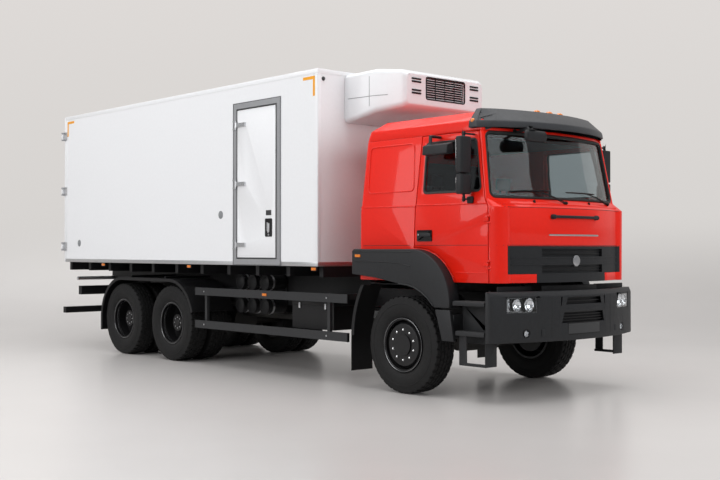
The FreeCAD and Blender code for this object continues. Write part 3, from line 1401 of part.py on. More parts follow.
def seats():
    """Two seats on boxes: cushion, back and headrest."""
    seats_ = []
    for side, word in SIDES:
        y = 585 * side
        x = cab_x + 60
        low = cab_floor_top
        base = block(f"seat box {word}", (x, x + 420), (y - 120 * side, y + 190 * side), (low, low + 260))
        cushion = block(f"seat cushion {word}", (x - 40, x + 480), (y - 235, y + 235), (low + 260, low + 400))
        back = prism(f"seat back {word}", "xz", [(x - 40, low + 330), (x + 90, low + 330), (x - 20, low + 1000),
                                                 (x - 120, low + 1000)], (y - 225, y + 225))
        rest = block(f"headrest {word}", (x - 125, x - 30), (y - 130, y + 130), (low + 990, low + 1160))
        seats_.append(fuse(f"seat {word}", base, cushion, back, rest))
    return node(group("seats", *seats_))


def cab_side_y(z):
    """How far the cab's side stands from the middle at a height, plus the seat's gap."""
    for lower, upper in zip(CAB_LEVELS, CAB_LEVELS[1:]):
        if float(z) <= float(upper[0]):
            break
    share = float(z - lower[0]) / float(upper[0] - lower[0])
    return S.cab_half_width - lower[2] - (upper[2] - lower[2]) * share + S.running_gap


def mirrors(side, word):
    """Main and wide-angle housings on a tube outside the door, and a kerb mirror on the right door."""
    x = cab_x + S.mirror_x
    y = S.mirror_y * side
    pieces = []
    for name, low, high in (("main", 2385, 2765), ("wide", 2165, 2368)):
        corners = [(x - 50, y - 85), (x + 42, y - 85), (x + 42, y + 85), (x - 50, y + 85)]
        pieces.append(prism(f"{name} mirror {word}", "xy", rounded(corners, 32), (low, high)))
    pieces.append(rod(f"mirror tube {word}", "z", (x, y), (2095, 2815), 13))
    pieces.append(rod(f"lower mirror arm {word}", "y", (x, 2112), (y, S.cab_half_width * side), 10))
    pieces.append(rod(f"upper mirror arm {word}", "y", (x, 2796), (y, cab_side_y(2786) * side), 10))
    low, bend, high = 2071, S.screen_sill_z, 2143
    seat = [(cab_side_y(z) * side, z) for z in (low, bend, high)]
    face = (S.cab_half_width + 22) * side
    pieces.append(prism(f"mirror foot {word}", "yz", seat + [(face, high), (face, low)], (x - 40, x + 40)))
    if side == RIGHT:
        x, near = cab_x + 430, S.cab_half_width
        pieces.append(prism("kerb mirror hood", "yz",
                            [(-near - 40, 2600), (-near - 36, 2700), (-near - 62, 2725), (-near - 140, 2700),
                             (-near - 152, 2600)], (x, x + 370)))
        pieces.append(prism("kerb mirror arm", "yz",
                            [(-cab_side_y(2788), 2788), (-cab_side_y(2816), 2816), (-near - 96, 2816),
                             (-near - 106, 2690), (-near - 76, 2690), (-near - 70, 2788)], (x + 50, x + 92)))
    return node(fuse(f"mirrors_{word}", *pieces))


def front_mirror():
    """Close-view mirror on an arm across the top of the windscreen."""
    z = S.gutter_z + 6
    corners = [(cab_x + 1375, -733), (cab_x + 1440, -733), (cab_x + 1440, -403), (cab_x + 1375, -403)]
    head = prism("front mirror head", "xy", rounded(corners, 28), (z - 124, z + 2))
    arm = rod("front mirror arm", "x", (-633, z), (cab_x + 1000, cab_x + 1400), 11)
    return node(cut("front_mirror", fuse("front mirror set", head, arm), cab_solid("front mirror cab volume", length(0))))


# ---- writing ---------------------------------------------------------------------------------

def write_parts():
    doc.recompute()
    broken = [item.Label for item in doc.Objects if {"Invalid", "Error"} & set(item.State)]
    if broken:
        raise RuntimeError(f"objects that failed: {broken}")
    for item in NODES:
        if item.Shape.isNull() or not item.Shape.isValid() or not item.Shape.Solids:
            raise RuntimeError(f"no valid solid in {item.Label}")
    os.makedirs("parts", exist_ok=True)
    for item in NODES:
        item.Shape.exportStep(f"parts/{item.Label}.step")
        print(f"{item.Label}: {len(item.Shape.Solids)} solids, {item.Shape.Volume / 1e9:.4f} m3")


chassis_frame()
box_subframe()
engine_block()
driveline()
front_axle_beam()
leaf_springs()
rear_axles()
for side, word in SIDES:
    front_wheel(side, word)
    knuckle(side, word)
    for number, axle_x in enumerate(rear_axle_xs, start=1):
        rear_wheel(number, axle_x, side, word)
tie_rod()
body_panels()
for side, word in SIDES:
    rear_door(side, word)
side_door_frame()
side_door()
cooling_unit()
front_bumper()
front_lamps()
entry_steps()
front_fenders()
mudguards()
side_guards()
air_tanks()
fuel_tank()
battery_box()
rear_underrun()
cab_shell()
sun_visor()
dashboard()
seats()
for side, word in SIDES:
    mirrors(side, word)
front_mirror()
write_parts()
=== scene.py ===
"""Refrigerated truck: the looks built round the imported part, in metres and in the part's own frame.

+X is forward, +Y the vehicle's left, +Z up, and the ground is at z = 0.
"""
import json
import math

import bmesh
import bpy
from mathutils import Matrix, Vector
from mathutils.bvhtree import BVHTree

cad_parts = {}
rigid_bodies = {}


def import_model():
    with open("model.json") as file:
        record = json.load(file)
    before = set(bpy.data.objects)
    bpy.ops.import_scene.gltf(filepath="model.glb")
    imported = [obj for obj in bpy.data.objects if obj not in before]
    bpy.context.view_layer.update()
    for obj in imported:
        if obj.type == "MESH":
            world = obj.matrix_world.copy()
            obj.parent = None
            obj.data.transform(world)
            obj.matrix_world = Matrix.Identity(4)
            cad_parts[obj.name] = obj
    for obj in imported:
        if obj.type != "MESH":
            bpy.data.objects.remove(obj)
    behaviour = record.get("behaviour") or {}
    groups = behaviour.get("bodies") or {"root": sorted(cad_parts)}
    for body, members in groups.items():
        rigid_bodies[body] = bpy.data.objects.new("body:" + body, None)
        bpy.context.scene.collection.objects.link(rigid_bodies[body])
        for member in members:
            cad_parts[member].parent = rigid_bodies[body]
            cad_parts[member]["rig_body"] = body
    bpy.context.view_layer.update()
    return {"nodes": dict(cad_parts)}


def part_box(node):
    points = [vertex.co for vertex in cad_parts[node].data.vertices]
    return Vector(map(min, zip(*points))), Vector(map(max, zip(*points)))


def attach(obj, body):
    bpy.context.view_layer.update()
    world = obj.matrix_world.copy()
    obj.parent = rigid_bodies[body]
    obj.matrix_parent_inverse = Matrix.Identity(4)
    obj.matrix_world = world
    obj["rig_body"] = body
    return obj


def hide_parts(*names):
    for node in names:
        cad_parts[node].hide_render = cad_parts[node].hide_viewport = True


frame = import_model()

AXLE_X = sum(end.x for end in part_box("front_tyre_right")) / 2      # front axle
HUB_Z = sum(end.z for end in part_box("front_tyre_right")) / 2
REAR_XS = [sum(end.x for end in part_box(f"rear_tyres_{number}_right")) / 2 for number in (1, 2)]
RIGHT, LEFT = -1, 1
SIDES = ((RIGHT, "right"), (LEFT, "left"))


# ---- shaping -----------------------------------------------------------------------------------

def clear():
    if bpy.context.object and bpy.context.object.mode != "OBJECT":
        bpy.ops.object.mode_set(mode="OBJECT")
    bpy.ops.object.select_all(action="DESELECT")


def only(piece):
    clear()
    piece.select_set(True)
    bpy.context.view_layer.objects.active = piece
    return piece


def settle(piece, name=None):
    """Puts the place, turn and size of a piece into its mesh."""
    only(piece)
    if name:
        piece.name = name
    bpy.ops.object.transform_apply(location=True, rotation=True, scale=True)
    return piece


def block(name, low, high):
    clear()
    low, high = Vector(low), Vector(high)
    bpy.ops.mesh.primitive_cube_add(size=1, location=(low + high) / 2)
    piece = bpy.context.object
    piece.scale = [abs(end - start) for start, end in zip(low, high)]
    return settle(piece, name)


TURNS = {"x": (0, math.pi / 2, 0), "y": (math.pi / 2, 0, 0), "z": (0, 0, 0)}


def barrel(name, axis, middle, radius, depth, sides=32):
    clear()
    bpy.ops.mesh.primitive_cylinder_add(vertices=sides, radius=radius, depth=depth, location=middle,
                                        rotation=TURNS[axis])
    return settle(bpy.context.object, name)


def ball(name, middle, sizes, segments=20):
    clear()
    bpy.ops.mesh.primitive_uv_sphere_add(segments=segments, ring_count=segments // 2, radius=0.5,
                                         location=middle)
    piece = bpy.context.object
    piece.scale = sizes
    return settle(piece, name)


def drawn(name, points, closed=True):
    """An outline drawn point by point; a closed one is filled."""
    clear()
    bpy.ops.mesh.primitive_plane_add(size=0.01, location=points[0])
    piece = bpy.context.object
    settle(piece, name)
    bpy.ops.object.mode_set(mode="EDIT")
    bpy.ops.mesh.select_mode(type="VERT")
    bpy.ops.mesh.select_all(action="SELECT")
    bpy.ops.mesh.merge(type="CENTER")
    for start, end in zip(points, points[1:]):
        bpy.ops.mesh.extrude_vertices_move(TRANSFORM_OT_translate={"value": Vector(end) - Vector(start)})
    if closed:
        bpy.ops.mesh.select_all(action="SELECT")
        bpy.ops.mesh.edge_face_add()
    bpy.ops.object.mode_set(mode="OBJECT")
    return piece


def pull(piece, move):
    """Extrudes all of a flat piece by a move and turns its faces outwards."""
    only(piece)
    bpy.ops.object.mode_set(mode="EDIT")
    bpy.ops.mesh.select_all(action="SELECT")
    bpy.ops.mesh.extrude_region_move(TRANSFORM_OT_translate={"value": move})
    bpy.ops.mesh.select_all(action="SELECT")
    bpy.ops.mesh.normals_make_consistent(inside=False)
    bpy.ops.object.mode_set(mode="OBJECT")
    return piece


def slab(name, plane, points, span):
    """A plate cut to an outline of a plane and as thick as its span across it."""
    start, end = span
    if plane == "xz":
        return pull(drawn(name, [(a, start, b) for a, b in points]), (0, end - start, 0))
    if plane == "yz":
        return pull(drawn(name, [(start, a, b) for a, b in points]), (end - start, 0, 0))
    return pull(drawn(name, [(a, b, start) for a, b in points]), (0, 0, end - start))


def spun(name, middle, axis, outline, steps=64):
    """A round piece: an outline of radius and distance along the axis, spun about it."""
    middle = Vector(middle)
    place = {"y": lambda r, a: middle + Vector((r, a, 0)), "x": lambda r, a: middle + Vector((a, 0, r)),
             "z": lambda r, a: middle + Vector((r, 0, a))}[axis]
    turn = {"x": (1, 0, 0), "y": (0, 1, 0), "z": (0, 0, 1)}[axis]
    piece = drawn(name, [place(r, a) for r, a in outline], closed=False)
    only(piece)
    bpy.ops.object.mode_set(mode="EDIT")
    bpy.ops.mesh.select_all(action="SELECT")
    bpy.ops.mesh.spin(steps=steps, angle=math.tau, center=middle, axis=turn)
    bpy.ops.mesh.select_all(action="SELECT")
    bpy.ops.mesh.remove_doubles(threshold=0.00005)
    bpy.ops.mesh.normals_make_consistent(inside=False)
    bpy.ops.object.mode_set(mode="OBJECT")
    return piece


def bar(name, points, radius, sides=8, soft=0.0, closed=False):
    """A round bar along points, its corners eased when soft is given."""
    clear()
    bpy.ops.curve.primitive_nurbs_path_add()
    piece = bpy.context.object
    line = piece.data
    line.splines.clear()
    spline = line.splines.new("POLY")
    eased = [Vector(points[0])]
    for before, corner, after in zip(points, points[1:], points[2:]):
        before, corner, after = Vector(before), Vector(corner), Vector(after)
        if not soft:
            eased.append(corner)
            continue
        start = corner + (before - corner).normalized() * min(soft, (before - corner).length * 0.45)
        end = corner + (after - corner).normalized() * min(soft, (after - corner).length * 0.45)
        eased += [start.lerp(corner, t).lerp(corner.lerp(end, t), t) for t in (0, 0.25, 0.5, 0.75, 1)]
    eased.append(Vector(points[-1]))
    spline.points.add(len(eased) - 1)
    for target, place in zip(spline.points, eased):
        target.co = (*place, 1)
    line.dimensions = "3D"
    line.bevel_depth = radius
    line.bevel_resolution = max(0, sides // 4 - 1)
    line.use_fill_caps = not closed
    spline.use_cyclic_u = closed
    piece.location = (0, 0, 0)
    only(piece)
    bpy.ops.object.convert(target="MESH")
    return settle(bpy.context.object, name)


def modify(piece, kind, **values):
    only(piece)
    modifier = piece.modifiers.new(kind.title(), kind)
    for key, value in values.items():
        setattr(modifier, key, value)
    bpy.ops.object.modifier_apply(modifier=modifier.name)
    return piece


def eased(piece, width, segments=2, angle=30):
    return modify(piece, "BEVEL", width=width, segments=segments, limit_method="ANGLE",
                  angle_limit=math.radians(angle), use_clamp_overlap=False)


def pick(piece, test):
    """Enters edit mode with only those faces selected whose middle and normal pass a test."""
    only(piece)
    bpy.ops.object.mode_set(mode="EDIT")
    bpy.ops.mesh.select_mode(type="FACE")
    bpy.ops.mesh.select_all(action="DESELECT")
    mesh = bmesh.from_edit_mesh(piece.data)
    for face in mesh.faces:
        face.select_set(bool(test(face.calc_center_median(), face.normal)))
    bmesh.update_edit_mesh(piece.data)


def done():
    bpy.ops.object.mode_set(mode="OBJECT")


def inset(piece, test, width, sink):
    """Insets the picked faces and sinks them, inwards when sink is below zero."""
    pick(piece, test)
    bpy.ops.mesh.inset(thickness=width, depth=sink)
    done()
    return piece


def joined(name, pieces):
    only(pieces[0])
    for piece in pieces[1:]:
        piece.select_set(True)
    if len(pieces) > 1:
        bpy.ops.object.join()
    pieces[0].name = name
    return pieces[0]


def copied(piece, name, move=(0, 0, 0), flip=False, turn=None):
    """A copy with its own mesh, moved, mirrored to the other side or turned by a matrix."""
    only(piece)
    bpy.ops.object.duplicate(linked=False)
    twin = bpy.context.object
    twin.parent = None
    for key in list(twin.keys()):
        del twin[key]
    twin.location = move
    if flip:
        twin.scale = (1, -1, 1)
    if turn is not None:
        twin.matrix_world = turn
    settle(twin, name)
    if flip:
        bpy.ops.object.mode_set(mode="EDIT")
        bpy.ops.mesh.select_all(action="SELECT")
        bpy.ops.mesh.normals_make_consistent(inside=False)
        bpy.ops.object.mode_set(mode="OBJECT")
    return twin


def finish(piece, material, body, angle=35, replaces=()):
    only(piece)
    piece.data.materials.clear()
    piece.data.materials.append(material)
    bpy.ops.object.shade_smooth_by_angle(angle=math.radians(angle))
    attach(piece, body)
    if replaces:
        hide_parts(*replaces)
    return piece


def both(piece, material, body, angle=35):
    """Finishes a right-hand piece and a mirrored one on the left; {side} in names is filled in."""
    left = copied(piece, piece.name.replace("right", "left"), flip=True)
    finish(piece, material, body.replace("{side}", "right"), angle)
    finish(left, material, body.replace("{side}", "left"), angle)


def softened(node, name, width, material, segments=2, angle=32, first=None):
    """The node's shape, passed through first if given, with its sharp edges eased, shown in its place."""
    piece = copied(frame["nodes"][node], name)
    only(piece)
    bpy.ops.object.mode_set(mode="EDIT")
    bpy.ops.mesh.select_all(action="SELECT")
    bpy.ops.mesh.remove_doubles(threshold=0.00003)
    bpy.ops.mesh.dissolve_limited(angle_limit=math.radians(1.5))
    bpy.ops.object.mode_set(mode="OBJECT")
    if first:
        first(piece)
    eased(piece, width, segments, angle)
    body = frame["nodes"][node]["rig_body"]
    return finish(piece, material, body, 40, replaces=(node,))


# ---- finishes ----------------------------------------------------------------------------------

def fresh(name):
    """An empty shader node group."""
    return bpy.data.node_groups.new(name, "ShaderNodeTree")


def add(tree, kind, inputs=(), **values):
    node = tree.nodes.new(kind)
    for key, value in values.items():
        setattr(node, key, value)
    for key, value in dict(inputs).items():
        if isinstance(value, bpy.types.NodeSocket):
            tree.links.new(value, node.inputs[key])
        else:
            node.inputs[key].default_value = value
    return node


def group_ends(tree, inputs, outputs):
    for name, kind, default in inputs:
        socket = tree.interface.new_socket(name=name, in_out="INPUT", socket_type=kind)
        socket.default_value = default
    for name, kind in outputs:
        tree.interface.new_socket(name=name, in_out="OUTPUT", socket_type=kind)
    return tree.nodes.new("NodeGroupInput"), tree.nodes.new("NodeGroupOutput")


def road_film():
    """Colour and roughness of a surface with fine mottling and dust that thickens towards the road."""
    tree = fresh("road film")
    start, end = group_ends(tree, [
        ("Colour", "NodeSocketColor", (0.5, 0.5, 0.5, 1)), ("Dust", "NodeSocketColor",
                                                            (0.33, 0.31, 0.28, 1)),
        ("Amount", "NodeSocketFloat", 0.2), ("Height", "NodeSocketFloat", 1.2), ("Roughness",
                                                                                 "NodeSocketFloat", 0.4),
        ("Mottle", "NodeSocketFloat", 0.05), ("Scale", "NodeSocketFloat", 3.0)],
        [("Colour", "NodeSocketColor"), ("Roughness", "NodeSocketFloat")])
    place = add(tree, "ShaderNodeTexCoord").outputs["Object"]
    apart = add(tree, "ShaderNodeSeparateXYZ", {0: place})
    low = add(tree, "ShaderNodeMapRange", {0: apart.outputs["Z"], 1: 0.0, 2: start.outputs["Height"], 3: 1.0,
                                           4: 0.0})
    patches = add(tree, "ShaderNodeTexNoise", {"Vector": place, "Scale": start.outputs["Scale"],
                                               "Detail": 5.0})
    spread = add(tree, "ShaderNodeMath", {0: low.outputs[0], 1: patches.outputs["Fac"]},
                 operation="MULTIPLY")
    fac = add(tree, "ShaderNodeMath", {0: spread.outputs[0], 1: start.outputs["Amount"]},
              operation="MULTIPLY", use_clamp=True)
    fine = add(tree, "ShaderNodeTexNoise", {"Vector": place, "Scale": 24.0, "Detail": 4.0})
    shift = add(tree, "ShaderNodeMapRange", {0: fine.outputs["Fac"], 1: 0.3, 2: 0.7, 3: 1.0})
    under = add(tree, "ShaderNodeMath", {0: 1.0, 1: start.outputs["Mottle"]}, operation="SUBTRACT")
    tree.links.new(under.outputs[0], shift.inputs[4])
    tint = add(tree, "ShaderNodeMix", {0: 1.0, 6: start.outputs["Colour"]}, data_type="RGBA",
               blend_type="MULTIPLY")
    grey = add(tree, "ShaderNodeCombineColor", {0: shift.outputs[0], 1: shift.outputs[0],
                                                2: shift.outputs[0]})
    tree.links.new(grey.outputs[0], tint.inputs[7])
    dusty = add(tree, "ShaderNodeMix", {0: fac.outputs[0], 6: tint.outputs[2], 7: start.outputs["Dust"]},
                data_type="RGBA")
    dull = add(tree, "ShaderNodeMath", {0: fac.outputs[0], 1: 0.45}, operation="MULTIPLY")
    rough = add(tree, "ShaderNodeMath", {0: start.outputs["Roughness"], 1: dull.outputs[0]}, operation="ADD",
                use_clamp=True)
    wander = add(tree, "ShaderNodeMath", {0: fine.outputs["Fac"], 1: 0.08, 2: rough.outputs[0]},
                 operation="MULTIPLY_ADD")
    tree.links.new(dusty.outputs[2], end.inputs["Colour"])
    tree.links.new(wander.outputs[0], end.inputs["Roughness"])
    return tree


def grain():
    """Height of a fine moulded or sprayed grain."""
    tree = fresh("grain")
    start, end = group_ends(tree, [("Scale", "NodeSocketFloat", 400.0), ("Broad", "NodeSocketFloat", 3.0),
                                   ("Share", "NodeSocketFloat", 0.5)], [("Height", "NodeSocketFloat")])
    place = add(tree, "ShaderNodeTexCoord").outputs["Object"]
    fine = add(tree, "ShaderNodeTexNoise", {"Vector": place, "Scale": start.outputs["Scale"], "Detail": 2.0})
    broad = add(tree, "ShaderNodeTexNoise", {"Vector": place, "Scale": start.outputs["Broad"],
                                             "Detail": 2.0})
    both_ = add(tree, "ShaderNodeMix", {0: start.outputs["Share"], 2: fine.outputs["Fac"],
                                        3: broad.outputs["Fac"]})
    tree.links.new(both_.outputs[0], end.inputs["Height"])
    return tree


def brushing():
    """Height and roughness of a drawn metal surface, streaked along one axis."""
    tree = fresh("brushing")
    start, end = group_ends(tree, [("Stretch", "NodeSocketVector", (2.0, 120.0, 120.0)),
                                   ("Roughness", "NodeSocketFloat", 0.35)],
                            [("Height", "NodeSocketFloat"), ("Roughness", "NodeSocketFloat")])
    place = add(tree, "ShaderNodeTexCoord").outputs["Object"]
    long = add(tree, "ShaderNodeVectorMath", {0: place, 1: start.outputs["Stretch"]}, operation="MULTIPLY")
    streak = add(tree, "ShaderNodeTexNoise", {"Vector": long.outputs[0], "Scale": 3.0, "Detail": 4.0})
    rough = add(tree, "ShaderNodeMath", {0: streak.outputs["Fac"], 1: 0.18, 2: start.outputs["Roughness"]},
                operation="MULTIPLY_ADD")
    tree.links.new(streak.outputs["Fac"], end.inputs["Height"])
    tree.links.new(rough.outputs[0], end.inputs["Roughness"])
    return tree


ROAD_FILM, GRAIN, BRUSHING = road_film(), grain(), brushing()


def surface(name, colour, roughness, dust=0.15, height=1.2, mottle=0.05, grain_scale=400.0, bump=0.1,
            bump_size=0.0006, broad=3.0, share=0.3, brushed=None, **shader):
    """A finish: its colour with road film, its grain, and plain values set on the shader itself."""
    material = bpy.data.materials.new(name)
    material.use_nodes = True
    tree = material.node_tree
    main = tree.nodes["Principled BSDF"]
    film = add(tree, "ShaderNodeGroup", node_tree=ROAD_FILM)
    values = {"Colour": (*colour, 1), "Amount": dust, "Height": height, "Roughness": roughness,
              "Mottle": mottle}
    for key, value in values.items():
        film.inputs[key].default_value = value
    tree.links.new(film.outputs["Colour"], main.inputs["Base Color"])
    if brushed:
        lines = add(tree, "ShaderNodeGroup", node_tree=BRUSHING)
        lines.inputs["Stretch"].default_value = brushed
        lines.inputs["Roughness"].default_value = roughness
        tree.links.new(lines.outputs["Roughness"], main.inputs["Roughness"])
    else:
        lines = add(tree, "ShaderNodeGroup", node_tree=GRAIN)
        for key, value in {"Scale": grain_scale, "Broad": broad, "Share": share}.items():
            lines.inputs[key].default_value = value
        tree.links.new(film.outputs["Roughness"], main.inputs["Roughness"])
    if bump:
        raised = add(tree, "ShaderNodeBump", {"Height": lines.outputs["Height"], "Strength": bump,
                                              "Distance": bump_size})
        tree.links.new(raised.outputs["Normal"], main.inputs["Normal"])
    for key, value in shader.items():
        main.inputs[key.replace("_", " ")].default_value = value
    return material


CAB_PAINT = surface("cab paint", (0.74, 0.012, 0.003), 0.33, dust=0.0, grain_scale=900, bump=0.05,
                    mottle=0.04,
                    broad=2.2, share=0.6, Coat_Weight=0.35, Coat_Roughness=0.05, Specular_IOR_Level=0.20)
BOX_SKIN = surface("box skin", (0.80, 0.81, 0.83), 0.34, dust=0.05, height=1.7, grain_scale=220, bump=0.05,
                   broad=1.3, share=0.7,
                   mottle=0.02, Coat_Weight=0.25, Coat_Roughness=0.15)
UNIT_SHELL = surface("unit shell", (0.70, 0.71, 0.73), 0.3, dust=0.0, grain_scale=500, bump=0.05,
                     mottle=0.02, Coat_Weight=0.4,
                     Coat_Roughness=0.1)
DARK_PLASTIC = surface("dark plastic", (0.016, 0.017, 0.019), 0.50, dust=0.03, height=1.4, grain_scale=1500,
                       bump=0.25,
                       bump_size=0.0005, share=0.1, mottle=0.12, Specular_IOR_Level=0.30)
VISOR_PLASTIC = surface("visor plastic", (0.034, 0.036, 0.040), 0.45, dust=0.0, grain_scale=1500, bump=0.2,
                        share=0.1, mottle=0.1,
                        Specular_IOR_Level=0.35)
BLACK_PLASTIC = surface("black plastic", (0.006, 0.006, 0.007), 0.45, dust=0.02, grain_scale=1200, bump=0.2,
                        mottle=0.15,
                        Specular_IOR_Level=0.30)
FRAME_PAINT = surface("frame paint", (0.006, 0.006, 0.007), 0.45, dust=0.03, height=1.3, grain_scale=120,
                      bump=0.25,
                      bump_size=0.001, mottle=0.2, Specular_IOR_Level=0.30)
GUARD_PAINT = surface("guard paint", (0.022, 0.023, 0.025), 0.45, dust=0.03, grain_scale=700, bump=0.15,
                      mottle=0.08,
                      Specular_IOR_Level=0.35)
CASTING = surface("casting", (0.03, 0.029, 0.028), 0.6, dust=0.2, grain_scale=60, bump=0.5, bump_size=0.002,
                  mottle=0.3, Metallic=0.3)
TYRE_RUBBER = surface("tyre rubber", (0.0075, 0.0075, 0.0080), 0.62, dust=0.02, height=1.1, grain_scale=260,
                      bump=0.35,
                      bump_size=0.0012, mottle=0.2, Specular_IOR_Level=0.25)
SEAL_RUBBER = surface("seal rubber", (0.012, 0.012, 0.012), 0.55, dust=0.0, grain_scale=600, bump=0.15)
WHEEL_PAINT = surface("wheel paint", (0.006, 0.006, 0.007), 0.33, dust=0.02, height=1.0, grain_scale=300,
                      bump=0.12, mottle=0.1,
                      Specular_IOR_Level=0.35)
ALUMINIUM = surface("aluminium", (0.52, 0.53, 0.55), 0.32, dust=0.02, brushed=(60.0, 60.0, 2.0), bump=0.08,
                    Metallic=1.0)
BAR_ALUMINIUM = surface("bar aluminium", (0.6, 0.61, 0.62), 0.3, dust=0.05, brushed=(2.0, 60.0, 60.0),
                        bump=0.08, Metallic=1.0)
STAINLESS = surface("stainless", (0.7, 0.71, 0.73), 0.2, dust=0.0, brushed=(40.0, 3.0, 40.0), bump=0.05,
                    Metallic=1.0)
CHROME = surface("chrome", (0.86, 0.87, 0.88), 0.06, dust=0.0, grain_scale=30, bump=0.03, mottle=0.02,
                 Metallic=1.0)
CHROME_BLACK = surface("lacquered flange", (0.16, 0.162, 0.168), 0.14, dust=0.02, grain_scale=300, bump=0.05,
                       mottle=0.08,
                       Metallic=0.9)
REFLECTOR = surface("reflector", (0.85, 0.86, 0.88), 0.08, dust=0.0, grain_scale=90, bump=0.5,
                    bump_size=0.002, Metallic=1.0)
TRIM_GREY = surface("trim grey", (0.11, 0.112, 0.118), 0.6, dust=0.0, grain_scale=900, bump=0.25,
                    mottle=0.08)
CLOTH = surface("seat cloth", (0.055, 0.057, 0.065), 0.85, dust=0.0, grain_scale=520, bump=0.6,
                bump_size=0.0012, mottle=0.35,
                Sheen_Weight=0.3)
WARNING_YELLOW = surface("warning yellow", (0.85, 0.36, 0.01), 0.4, dust=0.0, grain_scale=300, bump=0.08)
GREY_MARK = surface("grey mark", (0.22, 0.23, 0.24), 0.4, dust=0.0, grain_scale=300, bump=0.08)
PLATE_BLANK = surface("plate blank", (0.030, 0.031, 0.033), 0.4, dust=0.02, grain_scale=300, bump=0.08)
AMBER = surface("amber lens", (0.85, 0.22, 0.01), 0.14, dust=0.0, grain_scale=160, bump=0.5,
                bump_size=0.0015, Coat_Weight=0.6,
                Transmission_Weight=0.15)
RED_LENS = surface("red lens", (0.55, 0.012, 0.008), 0.14, dust=0.0, grain_scale=160, bump=0.5,
                   bump_size=0.0015, Coat_Weight=0.6,
                   Transmission_Weight=0.15)


def glazing(name, colour, roughness=0.02, bump=0.02, scale=6.0):
    """Clear or tinted glass with a faint wave in its surface."""
    material = bpy.data.materials.new(name)
    material.use_nodes = True
    tree = material.node_tree
    main = tree.nodes["Principled BSDF"]
    waves = add(tree, "ShaderNodeGroup", node_tree=GRAIN)
    waves.inputs["Scale"].default_value = scale
    raised = add(tree, "ShaderNodeBump", {"Height": waves.outputs["Height"], "Strength": bump,
                                          "Distance": 0.002})
    tree.links.new(raised.outputs["Normal"], main.inputs["Normal"])
    main.inputs["Base Color"].default_value = (*colour, 1)
    main.inputs["Roughness"].default_value = roughness
    main.inputs["IOR"].default_value = 1.45
    main.inputs["Transmission Weight"].default_value = 1.0
    return material


WINDOW_GLASS = glazing("window glass", (0.50, 0.56, 0.58))
LENS_GLASS = glazing("lens glass", (0.93, 0.95, 0.96), bump=0.25, scale=90.0)


def coat(node, material):
    """Puts a finish on a node of the part itself."""
    target = frame["nodes"][node]
    target.data.materials.clear()
    target.data.materials.append(material)


NODE_FINISH = {
    "chassis_frame": FRAME_PAINT, "box_subframe": FRAME_PAINT, "engine_block": CASTING, "driveline": CASTING,
    "front_axle_beam": CASTING, "leaf_springs": CASTING, "rear_axles": CASTING, "tie_rod": CASTING,
    "knuckle_right": CASTING, "knuckle_left": CASTING, "box_floor": BOX_SKIN, "box_roof": BOX_SKIN,
    "box_front_wall": BOX_SKIN, "box_left_wall": BOX_SKIN, "box_right_wall": BOX_SKIN,
    "box_rear_frame": STAINLESS,
    "side_door": BOX_SKIN,
    "rear_door_right": BOX_SKIN, "rear_door_left": BOX_SKIN, "cooling_unit": UNIT_SHELL, "seats": CLOTH,
    "side_door_frame": ALUMINIUM, "side_guards": GUARD_PAINT, "air_tanks": BLACK_PLASTIC,
    "fuel_tank": BAR_ALUMINIUM,
    "battery_box": BLACK_PLASTIC, "rear_underrun": FRAME_PAINT, "cab_floor": BLACK_PLASTIC,
    "dashboard": TRIM_GREY,
    "mudguards": BLACK_PLASTIC, "windscreen": WINDOW_GLASS, "door_glass_right": WINDOW_GLASS,
    "door_glass_left": WINDOW_GLASS,
}
for node in frame["nodes"]:
    coat(node, NODE_FINISH.get(node, WHEEL_PAINT if "rims" in node or "rim_" in node else DARK_PLASTIC))


# ---- wheels ------------------------------------------------------------------------------------

TREAD_STEPS = 120


def tyre_blank(name, x, middle):
    """A tyre with ribs on its walls, grooves round the tread and staggered blocks across it."""
    wall = [(0.291, 0.104), (0.296, 0.116), (0.306, 0.121), (0.312, 0.128), (0.318, 0.128), (0.324, 0.133),
            (0.360, 0.145),
            (0.395, 0.1505), (0.425, 0.1505), (0.447, 0.1475), (0.450, 0.1500), (0.456, 0.1495), (0.459,
                                                                                                  0.1465),
            (0.480, 0.1420), (0.503, 0.1370), (0.522, 0.1330), (0.531, 0.1280), (0.5350, 0.1180)]
    tread = [(0.5365, 0.084), (0.5285, 0.081), (0.5285, 0.074), (0.5375, 0.071), (0.5375, 0.032),
             (0.5290, 0.029),
             (0.5290, 0.022), (0.5378, 0.019), (0.5378, 0.0)]
    near = wall + tread
    outline = near + [(r, -a) for r, a in reversed(near[:-1])]
    piece = spun(name, (x, middle, HUB_Z), "y", outline, TREAD_STEPS)

    def step(place):
        return int(math.atan2(place.z - HUB_Z,
                              place.x - x) / math.tau * TREAD_STEPS + TREAD_STEPS) % TREAD_STEPS

    def across(place):
        return place.y - middle

    def radius(place):
        return math.hypot(place.z - HUB_Z, place.x - x)

    def blocks(low, high, phase, floor, sink):
        inset(piece, lambda p,
              n: low < across(p) < high and radius(p) > floor and (step(p) + phase) % 3 == 0, 0.0035, sink)

    blocks(0.086, 0.15, 0, 0.521, -0.010)
    blocks(-0.15, -0.086, 1, 0.521, -0.010)
    blocks(0.034, 0.070, 1, 0.530, -0.006)
    blocks(-0.070, -0.034, 2, 0.530, -0.006)
    blocks(-0.017, 0.017, 0, 0.530, -0.005)
    return piece


